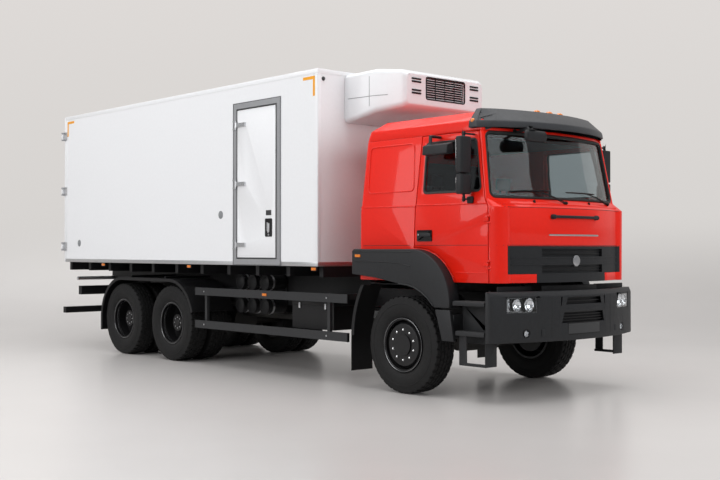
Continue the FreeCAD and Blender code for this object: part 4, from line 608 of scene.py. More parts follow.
pattern = tyre_blank("tyre_pattern", AXLE_X, 0.0)
for side, word in SIDES:
    single = copied(pattern, f"road_tyre_front_{word}", move=(0, 1.085 * side, 0))
    finish(single, TYRE_RUBBER, f"front_wheel_{word}", 30, (f"front_tyre_{word}",))
    for number, x in enumerate(REAR_XS, start=1):
        pair = [copied(pattern, f"road_tyres_{number}_{word}", move=(x - AXLE_X, y * side, 0))
                for y in (0.725, 1.075)]
        finish(joined(f"road_tyres_{number}_{word}", pair), TYRE_RUBBER, f"rear_wheels_{number}_{word}",
               30,
               (f"rear_tyres_{number}_{word}",))
only(pattern)
bpy.ops.object.delete()

FRONT_FACE = 1.085 + 0.112


def around(count, radius, start=0.0):
    return [(radius * math.cos(start + math.tau * k / count),
             radius * math.sin(start + math.tau * k / count))
            for k in range(count)]


def front_wheel_trim():
    """Cover, stud caps and flange ring of the front wheel on the right."""
    y = -FRONT_FACE
    cover = spun("front_hub_cover_right", (AXLE_X, 0, HUB_Z), "y",
                 [(0.0, y - 0.0225), (0.105, y - 0.0225), (0.112, y - 0.0195), (0.114, y - 0.010),
                  (0.218, y - 0.010),
                  (0.232, y - 0.007), (0.239, y + 0.004), (0.240, y + 0.020)], 64)
    both(cover, WHEEL_PAINT, "front_wheel_{side}", 25)
    caps = [spun(f"front_stud_caps_right", (AXLE_X + a, 0, HUB_Z + b), "y",
                 [(0.0, y - 0.0245), (0.0075, y - 0.0235), (0.0125, y - 0.019), (0.0135, y - 0.012),
                  (0.0135, y - 0.006)], 14)
            for a, b in around(10, 0.1675, 0.31)]
    both(joined("front_stud_caps_right", caps), CHROME, "front_wheel_{side}", 50)
    ring = spun("front_flange_ring_right", (AXLE_X, 0, HUB_Z), "y",
                [(0.2985, y - 0.0185), (0.2975, y - 0.0245), (0.2945, y - 0.0255), (0.2905, y - 0.0235),
                 (0.2885, y - 0.0150),
                 (0.2750, y + 0.0080), (0.2725, y + 0.0400), (0.2740, y + 0.0400)], 96)
    both(ring, CHROME_BLACK, "front_wheel_{side}", 40)


def rear_wheel_trim(number, x):
    """Hub end, studs and flange ring of a rear wheel on the right."""
    end = -0.900 - 0.205
    hub = spun(f"rear_hub_end_{number}_right", (x, 0, HUB_Z), "y",
               [(0.0, end - 0.0120), (0.050, end - 0.0110), (0.058, end - 0.0060), (0.060, end + 0.006),
                (0.092, end + 0.008),
                (0.100, end + 0.014), (0.102, end + 0.060), (0.119, end + 0.066), (0.121, end + 0.120)], 48)
    both(hub, WHEEL_PAINT, f"rear_wheels_{number}_{{side}}", 25)
    bolts = [barrel("bolt", "y", (x + a, end + 0.004, HUB_Z + b), 0.009, 0.012, 6) for a,
             b in around(8, 0.078)]
    both(joined(f"rear_hub_bolts_{number}_right", bolts), STAINLESS, f"rear_wheels_{number}_{{side}}",
         30)
    nuts = []
    for a, b in around(10, 0.1675, 0.31):
        nuts.append(spun("nut", (x + a, 0, HUB_Z + b), "y",
                         [(0.0, -0.967), (0.010, -0.9655), (0.0145, -0.960), (0.016, -0.913)], 12))
    both(joined(f"rear_wheel_nuts_{number}_right", nuts), WHEEL_PAINT, f"rear_wheels_{number}_{{side}}",
         40)
    lip = -1.075 - 0.113
    ring = spun(f"rear_flange_ring_{number}_right", (x, 0, HUB_Z), "y",
                [(0.2985, lip - 0.0070), (0.2975, lip - 0.0130), (0.2945, lip - 0.0140),
                 (0.2905, lip - 0.0120),
                 (0.2885, lip - 0.0040), (0.2745, lip + 0.016), (0.2715, lip + 0.060), (0.2745,
                                                                                        lip + 0.060)], 96)
    both(ring, CHROME_BLACK, f"rear_wheels_{number}_{{side}}", 40)


front_wheel_trim()
for number, x in enumerate(REAR_XS, start=1):
    rear_wheel_trim(number, x)


# ---- points on the part's own surfaces ---------------------------------------------------------

FRONT_NODES = ("cab_front_shell", "grille_panel", "windscreen")
SIDE_NODES = ("cab_rear_shell", "cab_front_shell", "cab_roof", "cab_door_right", "cab_door_left",
              "door_glass_right",
              "door_glass_left")


SURFACES = {node: BVHTree.FromPolygons([frame["nodes"][node].matrix_world @ corner.co for corner in
                                        frame["nodes"][node].data.vertices],
                                       [tuple(face.vertices) for face in frame["nodes"][node].data.polygons])
            for node in frame["nodes"]}


def strike(nodes, start, way):
    """Where a line from a start first meets any of the nodes, and the surface's normal there."""
    start, way, best = Vector(start), Vector(way).normalized(), None
    for node in nodes:
        place, normal, _, distance = SURFACES[node].ray_cast(start, way)
        if place is not None and (best is None or distance < best[2]):
            best = (place, normal if normal.dot(way) < 0 else -normal, distance)
    if best is None:
        raise ValueError(f"no surface from {tuple(start)} along {tuple(way)}")
    return best[:2]


def on_front(y, z, out=0.0, nodes=FRONT_NODES):
    place, normal = strike(nodes, (6.0, y, z), (-1, 0, 0))
    return place + normal * out


def on_side(x, z, side, out=0.0, nodes=SIDE_NODES):
    place, normal = strike(nodes, (x, 3.0 * side, z), (0, -side, 0))
    return place + normal * out


def traced(corners, place, spacing=0.06):
    """Points along straight runs between corners, each put on a surface."""
    points = []
    for (a, b), (c, d) in zip(corners, corners[1:]):
        count = max(1, round(math.hypot(c - a, d - b) / spacing))
        points += [place(a + (c - a) * k / count, b + (d - b) * k / count) for k in range(count)]
    points.append(place(*corners[-1]))
    return points


def rounded(corners, radius, steps=5):
    """A closed outline with round corners."""
    result = []
    count = len(corners)
    for number in range(count):
        before, corner, after = (Vector(corners[(number + shift) % count]) for shift in (-1, 0, 1))
        start = corner + (before - corner).normalized() * radius
        end = corner + (after - corner).normalized() * radius
        for step in range(steps + 1):
            t = step / steps
            result.append(tuple(start.lerp(corner, t).lerp(corner.lerp(end, t), t)))
    return result


def rim_loop(node, test):
    """The corners, in order, of the edge round the faces of a node that pass a test."""
    piece = copied(frame["nodes"][node], "rim_loop")
    only(piece)
    bpy.ops.object.mode_set(mode="EDIT")
    bpy.ops.mesh.select_mode(type="FACE")
    bpy.ops.mesh.select_all(action="SELECT")
    bpy.ops.mesh.remove_doubles(threshold=0.00003)
    bpy.ops.object.mode_set(mode="OBJECT")
    pick(piece, test)
    bpy.ops.mesh.region_to_loop()
    bpy.ops.mesh.select_mode(type="EDGE", action="ENABLE")
    bpy.ops.mesh.select_all(action="INVERT")
    bpy.ops.mesh.delete(type="EDGE")
    bpy.ops.object.mode_set(mode="OBJECT")
    links = {}
    for edge in piece.data.edges:
        a, b = edge.vertices
        links.setdefault(a, []).append(b)
        links.setdefault(b, []).append(a)
    seen, best = set(), []
    for start in links:
        if start in seen:
            continue
        loop, here = [start], start
        seen.add(start)
        while True:
            ahead = [other for other in links[here] if other not in seen]
            if not ahead:
                break
            here = ahead[0]
            seen.add(here)
            loop.append(here)
        if len(loop) > len(best):
            best = loop
    corners = [piece.data.vertices[number].co.copy() for number in best]
    only(piece)
    bpy.ops.object.delete()
    return corners


# ---- cab ---------------------------------------------------------------------------------------

def round_ends(bumper):
    """Rounds the upright outer corners where the bumper's front meets its ends."""
    low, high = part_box("front_bumper")
    only(bumper)
    bpy.ops.object.mode_set(mode="EDIT")
    bpy.ops.mesh.select_mode(type="EDGE")
    bpy.ops.mesh.select_all(action="DESELECT")
    mesh = bmesh.from_edit_mesh(bumper.data)
    for edge in mesh.edges:
        a, b = (corner.co for corner in edge.verts)
        along = (a - b).normalized()
        outer = min(abs(a.y), abs(b.y)) > high.y - 0.035 and min(a.x, b.x) > low.x + 0.05
        edge.select_set(outer and abs(along.z) > 0.3)
    bmesh.update_edit_mesh(bumper.data)
    bpy.ops.mesh.bevel(offset=0.055, segments=6, affect="EDGES", clamp_overlap=True)
    bpy.ops.object.mode_set(mode="OBJECT")


for node, name, width in (("cab_rear_shell", "cab_rear_panels", 0.004),
                          ("cab_front_shell", "cab_front_panels", 0.004),
                          ("cab_roof", "cab_raised_roof", 0.012), ("cab_door_right", "cab_door_panel_right",
                                                                   0.004),
                          ("cab_door_left", "cab_door_panel_left", 0.004)):
    softened(node, name, width, CAB_PAINT, 2)
softened("sun_visor", "sun_visor_shell", 0.014, VISOR_PLASTIC, 3)
softened("front_fenders", "front_fender_shells", 0.012, DARK_PLASTIC, 3)
softened("front_bumper", "front_bumper_shell", 0.012, DARK_PLASTIC, 3, first=round_ends)
softened("entry_steps", "entry_step_frames", 0.007, DARK_PLASTIC, 2)
softened("mirrors_right", "mirror_set_right", 0.013, DARK_PLASTIC, 3)
softened("mirrors_left", "mirror_set_left", 0.013, DARK_PLASTIC, 3)
softened("front_mirror", "close_view_mirror", 0.040, DARK_PLASTIC, 3)
softened("cooling_unit", "cooling_unit_shell", 0.012, UNIT_SHELL, 3)


def seam(name, corners, place, radius, body, material=None, slot="dark_plastic", closed=False):
    """A joint line that lies in the surface."""
    return finish(bar(name, traced(corners, place), radius, 6, closed=closed), material or SEAL_RUBBER, body,
                  60)


# Window and windscreen rubbers follow the edges of the panes.
for side, word in SIDES:
    edge = rim_loop(f"door_glass_{word}", lambda p, n: n.y * side > 0.8)
    rubber = bar(f"window_rubber_{word}", [corner + Vector((0, 0.006 * side, 0)) for corner in edge], 0.017,
                 8, closed=True)
    finish(rubber, SEAL_RUBBER, f"door_{word}", 50)
edge = rim_loop("windscreen", lambda p, n: n.x > 0.6)
finish(bar("windscreen_rubber", [corner + Vector((0.006, 0, 0)) for corner in edge], 0.021, 8, closed=True),
       SEAL_RUBBER, "cab",
       50)

# Raised blind window, belt crease and panel joints of the sides.
for side, word in SIDES:
    sleeper = traced(rounded([(2.585, 2.235), (3.330, 2.235), (3.300, 2.765), (2.585, 2.765)], 0.06),
                     lambda x, z: on_side(x, z, side))
    finish(bar(f"blind_window_bead_{word}", sleeper, 0.008, 8, closed=True), CAB_PAINT, "cab", 60)
    seam(f"lower_joint_rear_{word}", [(2.47, 1.634), (3.345, 1.634)], lambda x, z: on_side(x, z, side),
         0.0022, "cab")
    seam(f"lower_joint_door_{word}", [(3.366, 1.634), (4.420, 1.634)], lambda x, z: on_side(x, z, side),
         0.0022, f"door_{word}")
    for name, body, start, end in (("rear", "cab", 2.475, 3.366), ("door", f"door_{word}", 3.388, 4.412)):
        bead = bar(f"belt_bead_{name}_{word}", traced([(start, 2.075), (end, 2.063)], lambda x,
                                                      z: on_side(x, z, side)), 0.009, 8)
        finish(bead, CAB_PAINT, body, 60)
    step = bar(f"door_sill_bead_{word}", traced([(3.905, 1.345), (4.409, 1.347)], lambda x,
                                                z: on_side(x, z, side)), 0.006, 8)
    finish(step, CAB_PAINT, f"door_{word}", 60)

# Front panel: its joints and the corner panels' edges.
for name, corners in (("top", [(-1.03, 2.028), (1.03, 2.028)]),
                      ("right_ledge", [(-1.10, 1.632), (-0.985, 1.632)]),
                      ("left_ledge", [(0.985, 1.632), (1.10, 1.632)]), ("top_edge",
                                                                        [(-0.985, 1.634), (0.985, 1.634)])):
    seam(f"front_joint_{name}", corners, on_front, 0.0024, "cab")

hood = [on_front(y / 16, 2.062) for y in range(-16, 17)]
finish(bar("hood_edge_bead", hood, 0.009, 8), CAB_PAINT, "cab", 60)


# Door handles: a black plate with a sunk pocket and a lever across it.
def door_handle():
    low, high = (3.403, -1.1375, 1.677), (3.627, -1.1200, 1.800)
    plate = slab("door_handle_plate_right", "xz", rounded([(low[0], low[2]), (high[0], low[2]),
                                                           (high[0], high[2]),
                                                           (low[0], high[2])], 0.014), (low[1], high[1]))
    inset(plate, lambda p, n: n.y < -0.9, 0.012, -0.008)
    both(eased(plate, 0.0015), BLACK_PLASTIC, "door_{side}")
    lever = slab("door_handle_lever_right", "xz", rounded([(3.445, 1.728), (3.615, 1.728), (3.615, 1.768),
                                                           (3.445, 1.768)], 0.012),
                 (-1.1415, -1.130))
    both(eased(lever, 0.003), DARK_PLASTIC, "door_{side}")
    lock = spun("door_lock_right", (3.425, 0, 1.748), "y",
                [(0.0, -1.1395), (0.009, -1.1395), (0.0105, -1.138), (0.0105, -1.130)], 16)
    both(lock, CHROME, "door_{side}")


door_handle()

# Grab bar across the front panel.
grab_z = 1.936
reach = [on_front(y, grab_z, 0.032) for y in (-0.375, -0.2, 0.0, 0.2, 0.375)]
finish(bar("front_grab_bar", reach, 0.0165, 16), DARK_PLASTIC, "cab", 60)
for side, word in SIDES:
    end = on_front(0.375 * side, grab_z, 0.022)
    knob = spun(f"grab_bar_end_{word}", (end.x, end.y, end.z), "x",
                [(0.0, 0.028), (0.016, 0.026), (0.024, 0.016), (0.026, 0.0),
                                                                 (0.026, -0.026)], 24)
    finish(knob, DARK_PLASTIC, "cab", 50)


# Wipers with their arms, and the washer jets.
def wiper(word, pivot, start, end):
    foot = on_front(*pivot, 0.012)
    blade = [on_front(start[0] + (end[0] - start[0]) * t, start[1] + (end[1] - start[1]) * t, 0.017)
             for t in (0, 0.2, 0.4, 0.6, 0.8, 1.0)]
    finish(bar(f"wiper_blade_{word}", blade, 0.0065, 6), SEAL_RUBBER, "cab", 60)
    spine = [point + Vector((0.012, 0, 0.004)) for point in blade]
    finish(bar(f"wiper_spine_{word}", [blade[0]] + spine[1:-1] + [blade[-1]], 0.004, 6), BLACK_PLASTIC,
           "cab", 60)
    middle = spine[3]
    for number, drop in enumerate((0.0, 0.03), start=1):
        root = foot + Vector((0.01, -drop, -drop * 0.25))
        arm = bar(f"wiper_arm_{word}_{number}", [root, root.lerp(middle, 0.5) + Vector((0.012, 0, 0.012)),
                                                 middle], 0.0055, 8, soft=0.08)
        finish(arm, BLACK_PLASTIC, "cab", 60)
    cap = spun(f"wiper_pivot_{word}", tuple(foot), "x",
               [(0.0, 0.024), (0.013, 0.022), (0.019, 0.012), (0.021, -0.02)], 20)
    finish(cap, BLACK_PLASTIC, "cab", 50)
    jet = on_front(pivot[0] - 0.45, 2.092, 0.004)
    finish(spun(f"washer_jet_{word}", tuple(jet), "z", [(0.0, 0.018), (0.009, 0.016), (0.014, 0.008),
                                                        (0.016, -0.02)], 16),
           BLACK_PLASTIC, "cab", 50)


wiper("right", (-0.099, 2.078), (-0.818, 2.196), (-0.263, 2.214))
wiper("left", (0.827, 2.094), (0.007, 2.206), (0.587, 2.206))


# ---- lamps, bumper and front fittings ----------------------------------------------------------

def skin_of(name, node, test, thickness, outwards=0.0):
    """A sheet made of the faces of a node that pass a test, thickened inwards."""
    piece = copied(frame["nodes"][node], name)
    only(piece)
    bpy.ops.object.mode_set(mode="EDIT")
    bpy.ops.mesh.select_mode(type="FACE")
    bpy.ops.mesh.select_all(action="SELECT")
    bpy.ops.mesh.remove_doubles(threshold=0.00003)
    bpy.ops.object.mode_set(mode="OBJECT")
    pick(piece, lambda p, n: not test(p, n))
    bpy.ops.mesh.delete(type="FACE")
    done()
    return modify(piece, "SOLIDIFY", thickness=thickness, offset=outwards)


NOSE_X, NOSE_FALL, NOSE_HALF = AXLE_X + 1.550, 0.265, 1.250


def bumper_x(y, back=0.0):
    """The bumper's bowed face at a distance from the middle, drawn back."""
    return NOSE_X - NOSE_FALL * (y / NOSE_HALF) ** 2 - back


def bowed(name, reach, low, high, back, thick, ends=None):
    """A strip that follows the bumper's bow between two distances from the middle."""
    start, end = ends or (-reach, reach)
    steps = [start + (end - start) * k / 16 for k in range(17)]
    outline = [(bumper_x(y, back), y) for y in steps] + [(bumper_x(y, back + thick), y)
                                                         for y in reversed(steps)]
    return slab(name, "xy", outline, (low, high))


def headlamps():
    """Clear lens, dark housing and two bowls with bulbs in each pocket of the bumper."""
    lens = skin_of("headlamp_lenses", "front_lamps", lambda p, n: n.x > 0.5 and p.z > 0.9, 0.004, -1.0)
    finish(lens, LENS_GLASS, "chassis", 40, replaces=("front_lamps",))
    shells, bowls, bulbs = [], [], []
    for side, word in SIDES:
        ends = (0.706 * side, 1.061 * side)
        shells.append(bowed("back", 0, 0.939, 1.095, 0.060, 0.003, ends))
        shells.append(bowed("top", 0, 1.090, 1.095, 0.010, 0.052, ends))
        shells.append(bowed("base", 0, 0.939, 0.944, 0.010, 0.052, ends))
        for y in ends:
            wall = (y - 0.0015, y + 0.0015)
            shells.append(block("wall", (bumper_x(y, 0.061), wall[0], 0.940),
                                (bumper_x(y, 0.012), wall[1], 1.094)))
        for y, radius in ((0.792, 0.070), (0.938, 0.062)):
            place = (bumper_x(y, 0.014), y * side, 1.017)
            bowls.append(spun("bowl", place, "x", [(0.012, -0.040), (radius * 0.55, -0.034),
                                                   (radius * 0.88, -0.016),
                                                  (radius * 0.97, 0.0), (radius + 0.003,
                                                          0.0), (radius + 0.003, -0.004)], 32))
            bulbs.append(ball("bulb", (place[0] - 0.026, place[1], place[2]), (0.026, 0.020, 0.020), 14))
        marker = bumper_x(1.030, 0.020)
        bowls.append(block("side reflector", (marker - 0.012, 1.006 * side, 0.955),
                           (marker, 1.054 * side, 1.078)))
    finish(joined("headlamp_housings", shells), CHROME_BLACK, "chassis", 40)
    finish(joined("headlamp_bowls", bowls), REFLECTOR, "chassis", 40)
    finish(joined("headlamp_bulbs", bulbs), LENS_GLASS, "chassis", 60)
    for side, word in SIDES:
        place = (bumper_x(0.835, 0.010), 0.835 * side, 0.722)
        rim = spun(f"fog_lamp_rim_{word}", place, "x", [(0.0415, 0.002), (0.0405, 0.007), (0.036, 0.008),
                                                        (0.034, 0.004),
                                                       (0.034, -0.020), (0.0415, -0.020)], 32)
        finish(rim, BLACK_PLASTIC, "chassis", 40)
        bowl = spun(f"fog_lamp_bowl_{word}", place, "x",
                    [(0.0, -0.034), (0.018, -0.030), (0.031, -0.012), (0.0345, 0.0)], 28)
        finish(bowl, REFLECTOR, "chassis", 50)
        glass = spun(f"fog_lamp_glass_{word}", place, "x",
                     [(0.0, 0.006), (0.02, 0.0045), (0.034, 0.001), (0.034, -0.002),
                                                           (0.0, 0.002)], 28)
        finish(glass, LENS_GLASS, "chassis", 50)


def bumper_fittings():
    """Backing behind the slots, joints, the blank plate with its frame, and the tow covers."""
    finish(bowed("bumper_slot_backing", 0.40, 0.790, 1.095, 0.048, 0.004), BLACK_PLASTIC, "chassis",
           30)
    slats = [bowed("slat", 0.374, z - 0.006, z + 0.006, 0.020, 0.026) for z in (0.842, 0.870, 0.898, 1.045)]
    finish(joined("bumper_slats", slats), BLACK_PLASTIC, "chassis", 30)
    joints = []
    for y in (-0.515, 0.515):
        joints.append(bar("joint", [(bumper_x(y), y, z) for z in (0.675, 0.80, 0.95, 1.10)], 0.0028, 6))
    seam = [(bumper_x(y, 0.0024), y, 0.930) for y in [k / 20 for k in range(-24, 25)] if abs(y) < 1.205]
    joints.append(bar("joint", seam, 0.0030, 8))
    finish(joined("bumper_joints", joints), SEAL_RUBBER, "chassis", 60)
    plate = bowed("number_plate_blank", 0.272, 0.700, 0.806, -0.0008, 0.003)
    finish(plate, PLATE_BLANK, "chassis", 30)
    surround = bowed("number_plate_surround", 0.286, 0.688, 0.818, -0.0004, 0.006)
    finish(surround, BLACK_PLASTIC, "chassis", 30)
    caps = [block("cap", (bumper_x(0.62, 0.004), 0.585 * side, 0.690),
                  (bumper_x(0.62, -0.004), 0.655 * side, 0.760))
            for side, word in SIDES]
    finish(eased(joined("tow_eye_covers", caps), 0.003), DARK_PLASTIC, "chassis", 30)
    # screens behind the bumper's top, low enough for the tilting cab and open where its arms swing
    spans = ((4.520, -1.100, -0.555), (4.600, -0.485, 0.485), (4.520, 0.555, 1.100))
    screens = [block("screen", (x, low, 1.090), (x + 0.012, high, 1.205)) for x, low, high in spans]
    finish(eased(joined("bumper_screens", screens), 0.003), BLACK_PLASTIC, "chassis", 30)


headlamps()
bumper_fittings()


def grille_fittings():
    """Slats in the two slots, ridges between them and a plain round boss where a badge would be."""
    slats = []
    for low, high in ((1.342, 1.418), (1.517, 1.593)):
        for share in (0.3, 0.7):
            z = low + (high - low) * share
            slats.append(bar("slat", [on_front(k / 10, z, 0.012) for k in (-5.25, -4, -2, 0, 2, 4, 5.25)],
                             0.006, 8))
    finish(joined("grille_slats", slats), BLACK_PLASTIC, "cab", 60)
    ridges = [bar("ridge", [on_front(k / 10, z, 0.001) for k in (-9.3, -8, -6, -4, -2, 0, 2, 4, 6, 8, 9.3)],
                  0.007, 8)
              for z in (1.432, 1.500)]
    finish(joined("grille_ridges", ridges), DARK_PLASTIC, "cab", 60)
    place = on_front(0.0, 1.466)
    boss = spun("plain_boss", tuple(place), "x", [(0.0, 0.016), (0.040, 0.015), (0.052, 0.012),
                                                  (0.060, 0.004), (0.060, -0.010)], 40)
    finish(boss, ALUMINIUM, "cab", 40)
    pad = bar("front_panel_band", [on_front(k / 10, 1.742, 0.001) for k in (-4.3, -3, -1.5, 0, 1.5, 3, 4.3)],
              0.010, 8)
    finish(pad, BAR_ALUMINIUM, "cab", 60)


grille_fittings()


def down(nodes, x, y, out=0.0):
    place, normal = strike(nodes, (x, y, 5.0), (0, 0, -1))
    return place + normal * out


def visor_fittings():
    """Three amber lamps on top and a round one at each end."""
    for number, y in enumerate((-0.2, 0.0, 0.2), start=1):
        place = down(("sun_visor",), 4.335 - 0.3 * y * y, y, -0.004)
        dome = ball(f"roof_lamp_{number}", tuple(place), (0.062, 0.110, 0.064), 24)
        cut_low(dome, place.z - 0.002)
        finish(dome, AMBER, "cab", 60)
        foot = ball("roof_lamp_foot", tuple(place), (0.078, 0.128, 0.020), 24)
        foot.name = f"roof_lamp_foot_{number}"
        finish(foot, BLACK_PLASTIC, "cab", 60)
    for side, word in SIDES:
        place, normal = strike(("sun_visor",), (4.165, 3.0 * side, 2.946), (0, -side, 0))
        lamp_ = spun(f"visor_side_lamp_{word}", (place.x, 0, place.z), "y",
                     [(0.0, place.y + 0.012 * side), (0.018, place.y + 0.009 * side), (0.024, place.y),
                      (0.024, place.y - 0.012 * side)], 24)
        finish(lamp_, AMBER, "cab", 50)


def cut_low(piece, z):
    """Takes away what lies below a height and closes the cut."""
    only(piece)
    bpy.ops.object.mode_set(mode="EDIT")
    bpy.ops.mesh.select_all(action="SELECT")
    bpy.ops.mesh.bisect(plane_co=(0, 0, z), plane_no=(0, 0, 1), use_fill=True, clear_inner=True)
    bpy.ops.object.mode_set(mode="OBJECT")


visor_fittings()


def mirror_fittings():
    """Mirror glass on the housings' rear faces, and the grooves round the housings."""
    x = 4.190 - 0.050
    for low, high, name in ((2.400, 2.750, "main"), (2.180, 2.353, "wide")):
        outline = rounded([(-1.306, low), (-1.166, low), (-1.166, high), (-1.306, high)], 0.022)
        glass = slab(f"mirror_glass_{name}_right", "yz", outline, (x - 0.001, x + 0.004))
        both(eased(glass, 0.001), CHROME, "door_{side}", 30)
        ring = bar(f"mirror_rim_{name}_right", [(x - 0.001, *corner) for corner in outline], 0.004, 6,
                   closed=True)
        both(ring, BLACK_PLASTIC, "door_{side}", 60)
    for height in (2.371, 2.377):
        joint = bar(f"mirror_joint_right_{round(height * 1000)}",
                    [(x + 0.045, -1.235, height - 0.004), (x + 0.045, -1.235, height + 0.004)],
                    0.034, 16)
        both(joint, BLACK_PLASTIC, "door_{side}", 40)


mirror_fittings()


def step_fittings():
    """Ribbed grips on the treads of each step."""
    for level, low, high, name in ((1.0485, 4.050, 4.470, "upper"), (0.7385, 4.090, 4.470, "lower")):
        ribs = [bar("rib", [(low, -1.236 + 0.024 * k, level), (high, -1.236 + 0.024 * k, level)], 0.0035, 6)
                for k in range(7)]
        teeth = []
        for k in range(12):
            x = low + (high - low) * (k + 0.5) / 12
            teeth.append(block("tooth", (x - 0.004, -1.238, level - 0.002),
                               (x + 0.004, -1.085, level + 0.002)))
        both(joined(f"step_grip_{name}_right", ribs + teeth), BLACK_PLASTIC, "chassis", 40)


step_fittings()


def fender_fittings():
    """Crease along each front fender, its side lamp, and the arch's rolled edge."""
    outer = ("front_fenders",)
    for side, word in SIDES:
        def on(x, z, out=0.0):
            return on_side(x, z, side, out, outer)
        crease = [on(x, z, 0.001) for x, z in ((2.48, 1.452), (2.75, 1.453), (3.05, 1.449), (3.25, 1.436),
                                               (3.41, 1.408))]
        finish(bar(f"fender_crease_{word}", crease, 0.006, 8), DARK_PLASTIC, "cab", 60)
        upper = [on(x, z, 0.001) for x, z in ((2.48, 1.566), (2.80, 1.566), (3.20, 1.566), (3.42, 1.562))]
        finish(bar(f"fender_upper_edge_{word}", upper, 0.005, 8), DARK_PLASTIC, "cab", 60)
        edge = [on(AXLE_X + 0.672 * math.cos(a), HUB_Z + 0.672 * math.sin(a), 0.001)
                for a in [math.radians(42 + 10 * k) for k in range(6)]]
        finish(bar(f"arch_edge_{word}", edge, 0.009, 8), DARK_PLASTIC, "cab", 60)
        place = on(2.560, 1.515)
        lamp_ = block(f"fender_lamp_{word}", (2.515, place.y - 0.004 * side, 1.500),
                      (2.605, place.y + 0.009 * side, 1.532))
        finish(eased(lamp_, 0.004, 3), AMBER, "cab", 40)


fender_fittings()


# ---- insulated box -----------------------------------------------------------------------------

BOX_LOW, BOX_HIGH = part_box("box_left_wall")
BOX_FRONT, BOX_REAR = BOX_HIGH.x, BOX_LOW.x
BOX_SIDE, BOX_BASE, BOX_TOP = BOX_HIGH.y, BOX_LOW.z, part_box("box_roof")[1].z
SKIN_Y = -BOX_SIDE - 0.0022

softened("side_door", "side_door_leaf", 0.005, BOX_SKIN, 2)
softened("rear_door_right", "rear_door_leaf_right", 0.005, BOX_SKIN, 2)
softened("rear_door_left", "rear_door_leaf_left", 0.005, BOX_SKIN, 2)


def box_trims():
    """Thin cappings over the box's edges."""
    strips = []
    for side, word in SIDES:
        y, out = BOX_SIDE * side, (BOX_SIDE + 0.0025) * side
        strips += [block("roof_edge", (BOX_REAR + 0.002, y - 0.03 * side, BOX_TOP - 0.058),
                         (BOX_FRONT, out, BOX_TOP - 0.001)),
                   block("front_edge", (BOX_FRONT - 0.045, y - 0.001 * side, BOX_BASE),
                         (BOX_FRONT + 0.0025, out, BOX_TOP - 0.058)),
                   block("front_return", (BOX_FRONT - 0.001, y - 0.045 * side, BOX_BASE),
                         (BOX_FRONT + 0.0025, out, BOX_TOP - 0.058)),
                   block("rear_edge", (BOX_REAR + 0.012, y - 0.001 * side, BOX_BASE),
                         (BOX_REAR + 0.060, out, BOX_TOP - 0.058))]
    strips.append(block("front_head", (BOX_FRONT - 0.001, -BOX_SIDE, BOX_TOP - 0.058),
                        (BOX_FRONT + 0.0025, BOX_SIDE, BOX_TOP - 0.001)))
    finish(eased(joined("box_edge_cappings", strips), 0.0012, 2), BOX_SKIN, "chassis", 30)
    rails = []
    door_rear, door_ahead = 0.155, 1.175
    for start, end in ((BOX_REAR + 0.012, door_rear - 0.004), (door_ahead + 0.004, BOX_FRONT)):
        rails.append(block("rail", (start, -BOX_SIDE - 0.004, BOX_BASE),
                           (end, -BOX_SIDE + 0.002, BOX_BASE + 0.052)))
    rails.append(block("rail", (BOX_REAR + 0.012, BOX_SIDE - 0.002, BOX_BASE),
                       (BOX_FRONT, BOX_SIDE + 0.004, BOX_BASE + 0.052)))
    rails.append(block("rail", (BOX_FRONT - 0.002, -BOX_SIDE, BOX_BASE),
                       (BOX_FRONT + 0.004, BOX_SIDE, BOX_BASE + 0.052)))
    finish(eased(joined("box_base_rails", rails), 0.0015, 2), BAR_ALUMINIUM, "chassis",
           30)
    rivets = []
    for k in range(44):
        x = BOX_REAR + 0.08 + (BOX_FRONT - BOX_REAR - 0.14) * k / 43
        if not door_rear - 0.02 < x < door_ahead + 0.02:
            rivets.append(barrel("rivet", "y", (x, -BOX_SIDE - 0.004, BOX_BASE + 0.026), 0.006, 0.003, 8))
    finish(joined("box_rail_rivets", rivets), STAINLESS, "chassis", 40)


def corner_marks():
    """Yellow angle marks at the box's upper corners and two plain round marks."""
    top, arm_x, arm_z, width = BOX_TOP - 0.085, 0.225, 0.240, 0.036
    for name, corner, way in (("front", BOX_FRONT - 0.055, -1), ("rear", BOX_REAR + 0.070, 1)):
        outline = [(corner, top), (corner, top - arm_z), (corner + width * way, top - arm_z),
                   (corner + width * way, top - width),
                   (corner + arm_x * way, top - width), (corner + arm_x * way, top)]
        finish(slab(f"angle_mark_{name}", "xz", outline, (-BOX_SIDE + 0.001, SKIN_Y)), WARNING_YELLOW,
               "chassis", 30)
    for name, x, z in (("front", -0.135, 2.050), ("rear", -4.105, 1.690)):
        disc = spun(f"round_mark_{name}", (x, 0, z), "y",
                    [(0.0, SKIN_Y), (0.052, SKIN_Y), (0.054, SKIN_Y + 0.001),
                                                          (0.054, -BOX_SIDE + 0.002)], 40)
        finish(disc, GREY_MARK, "chassis", 30)


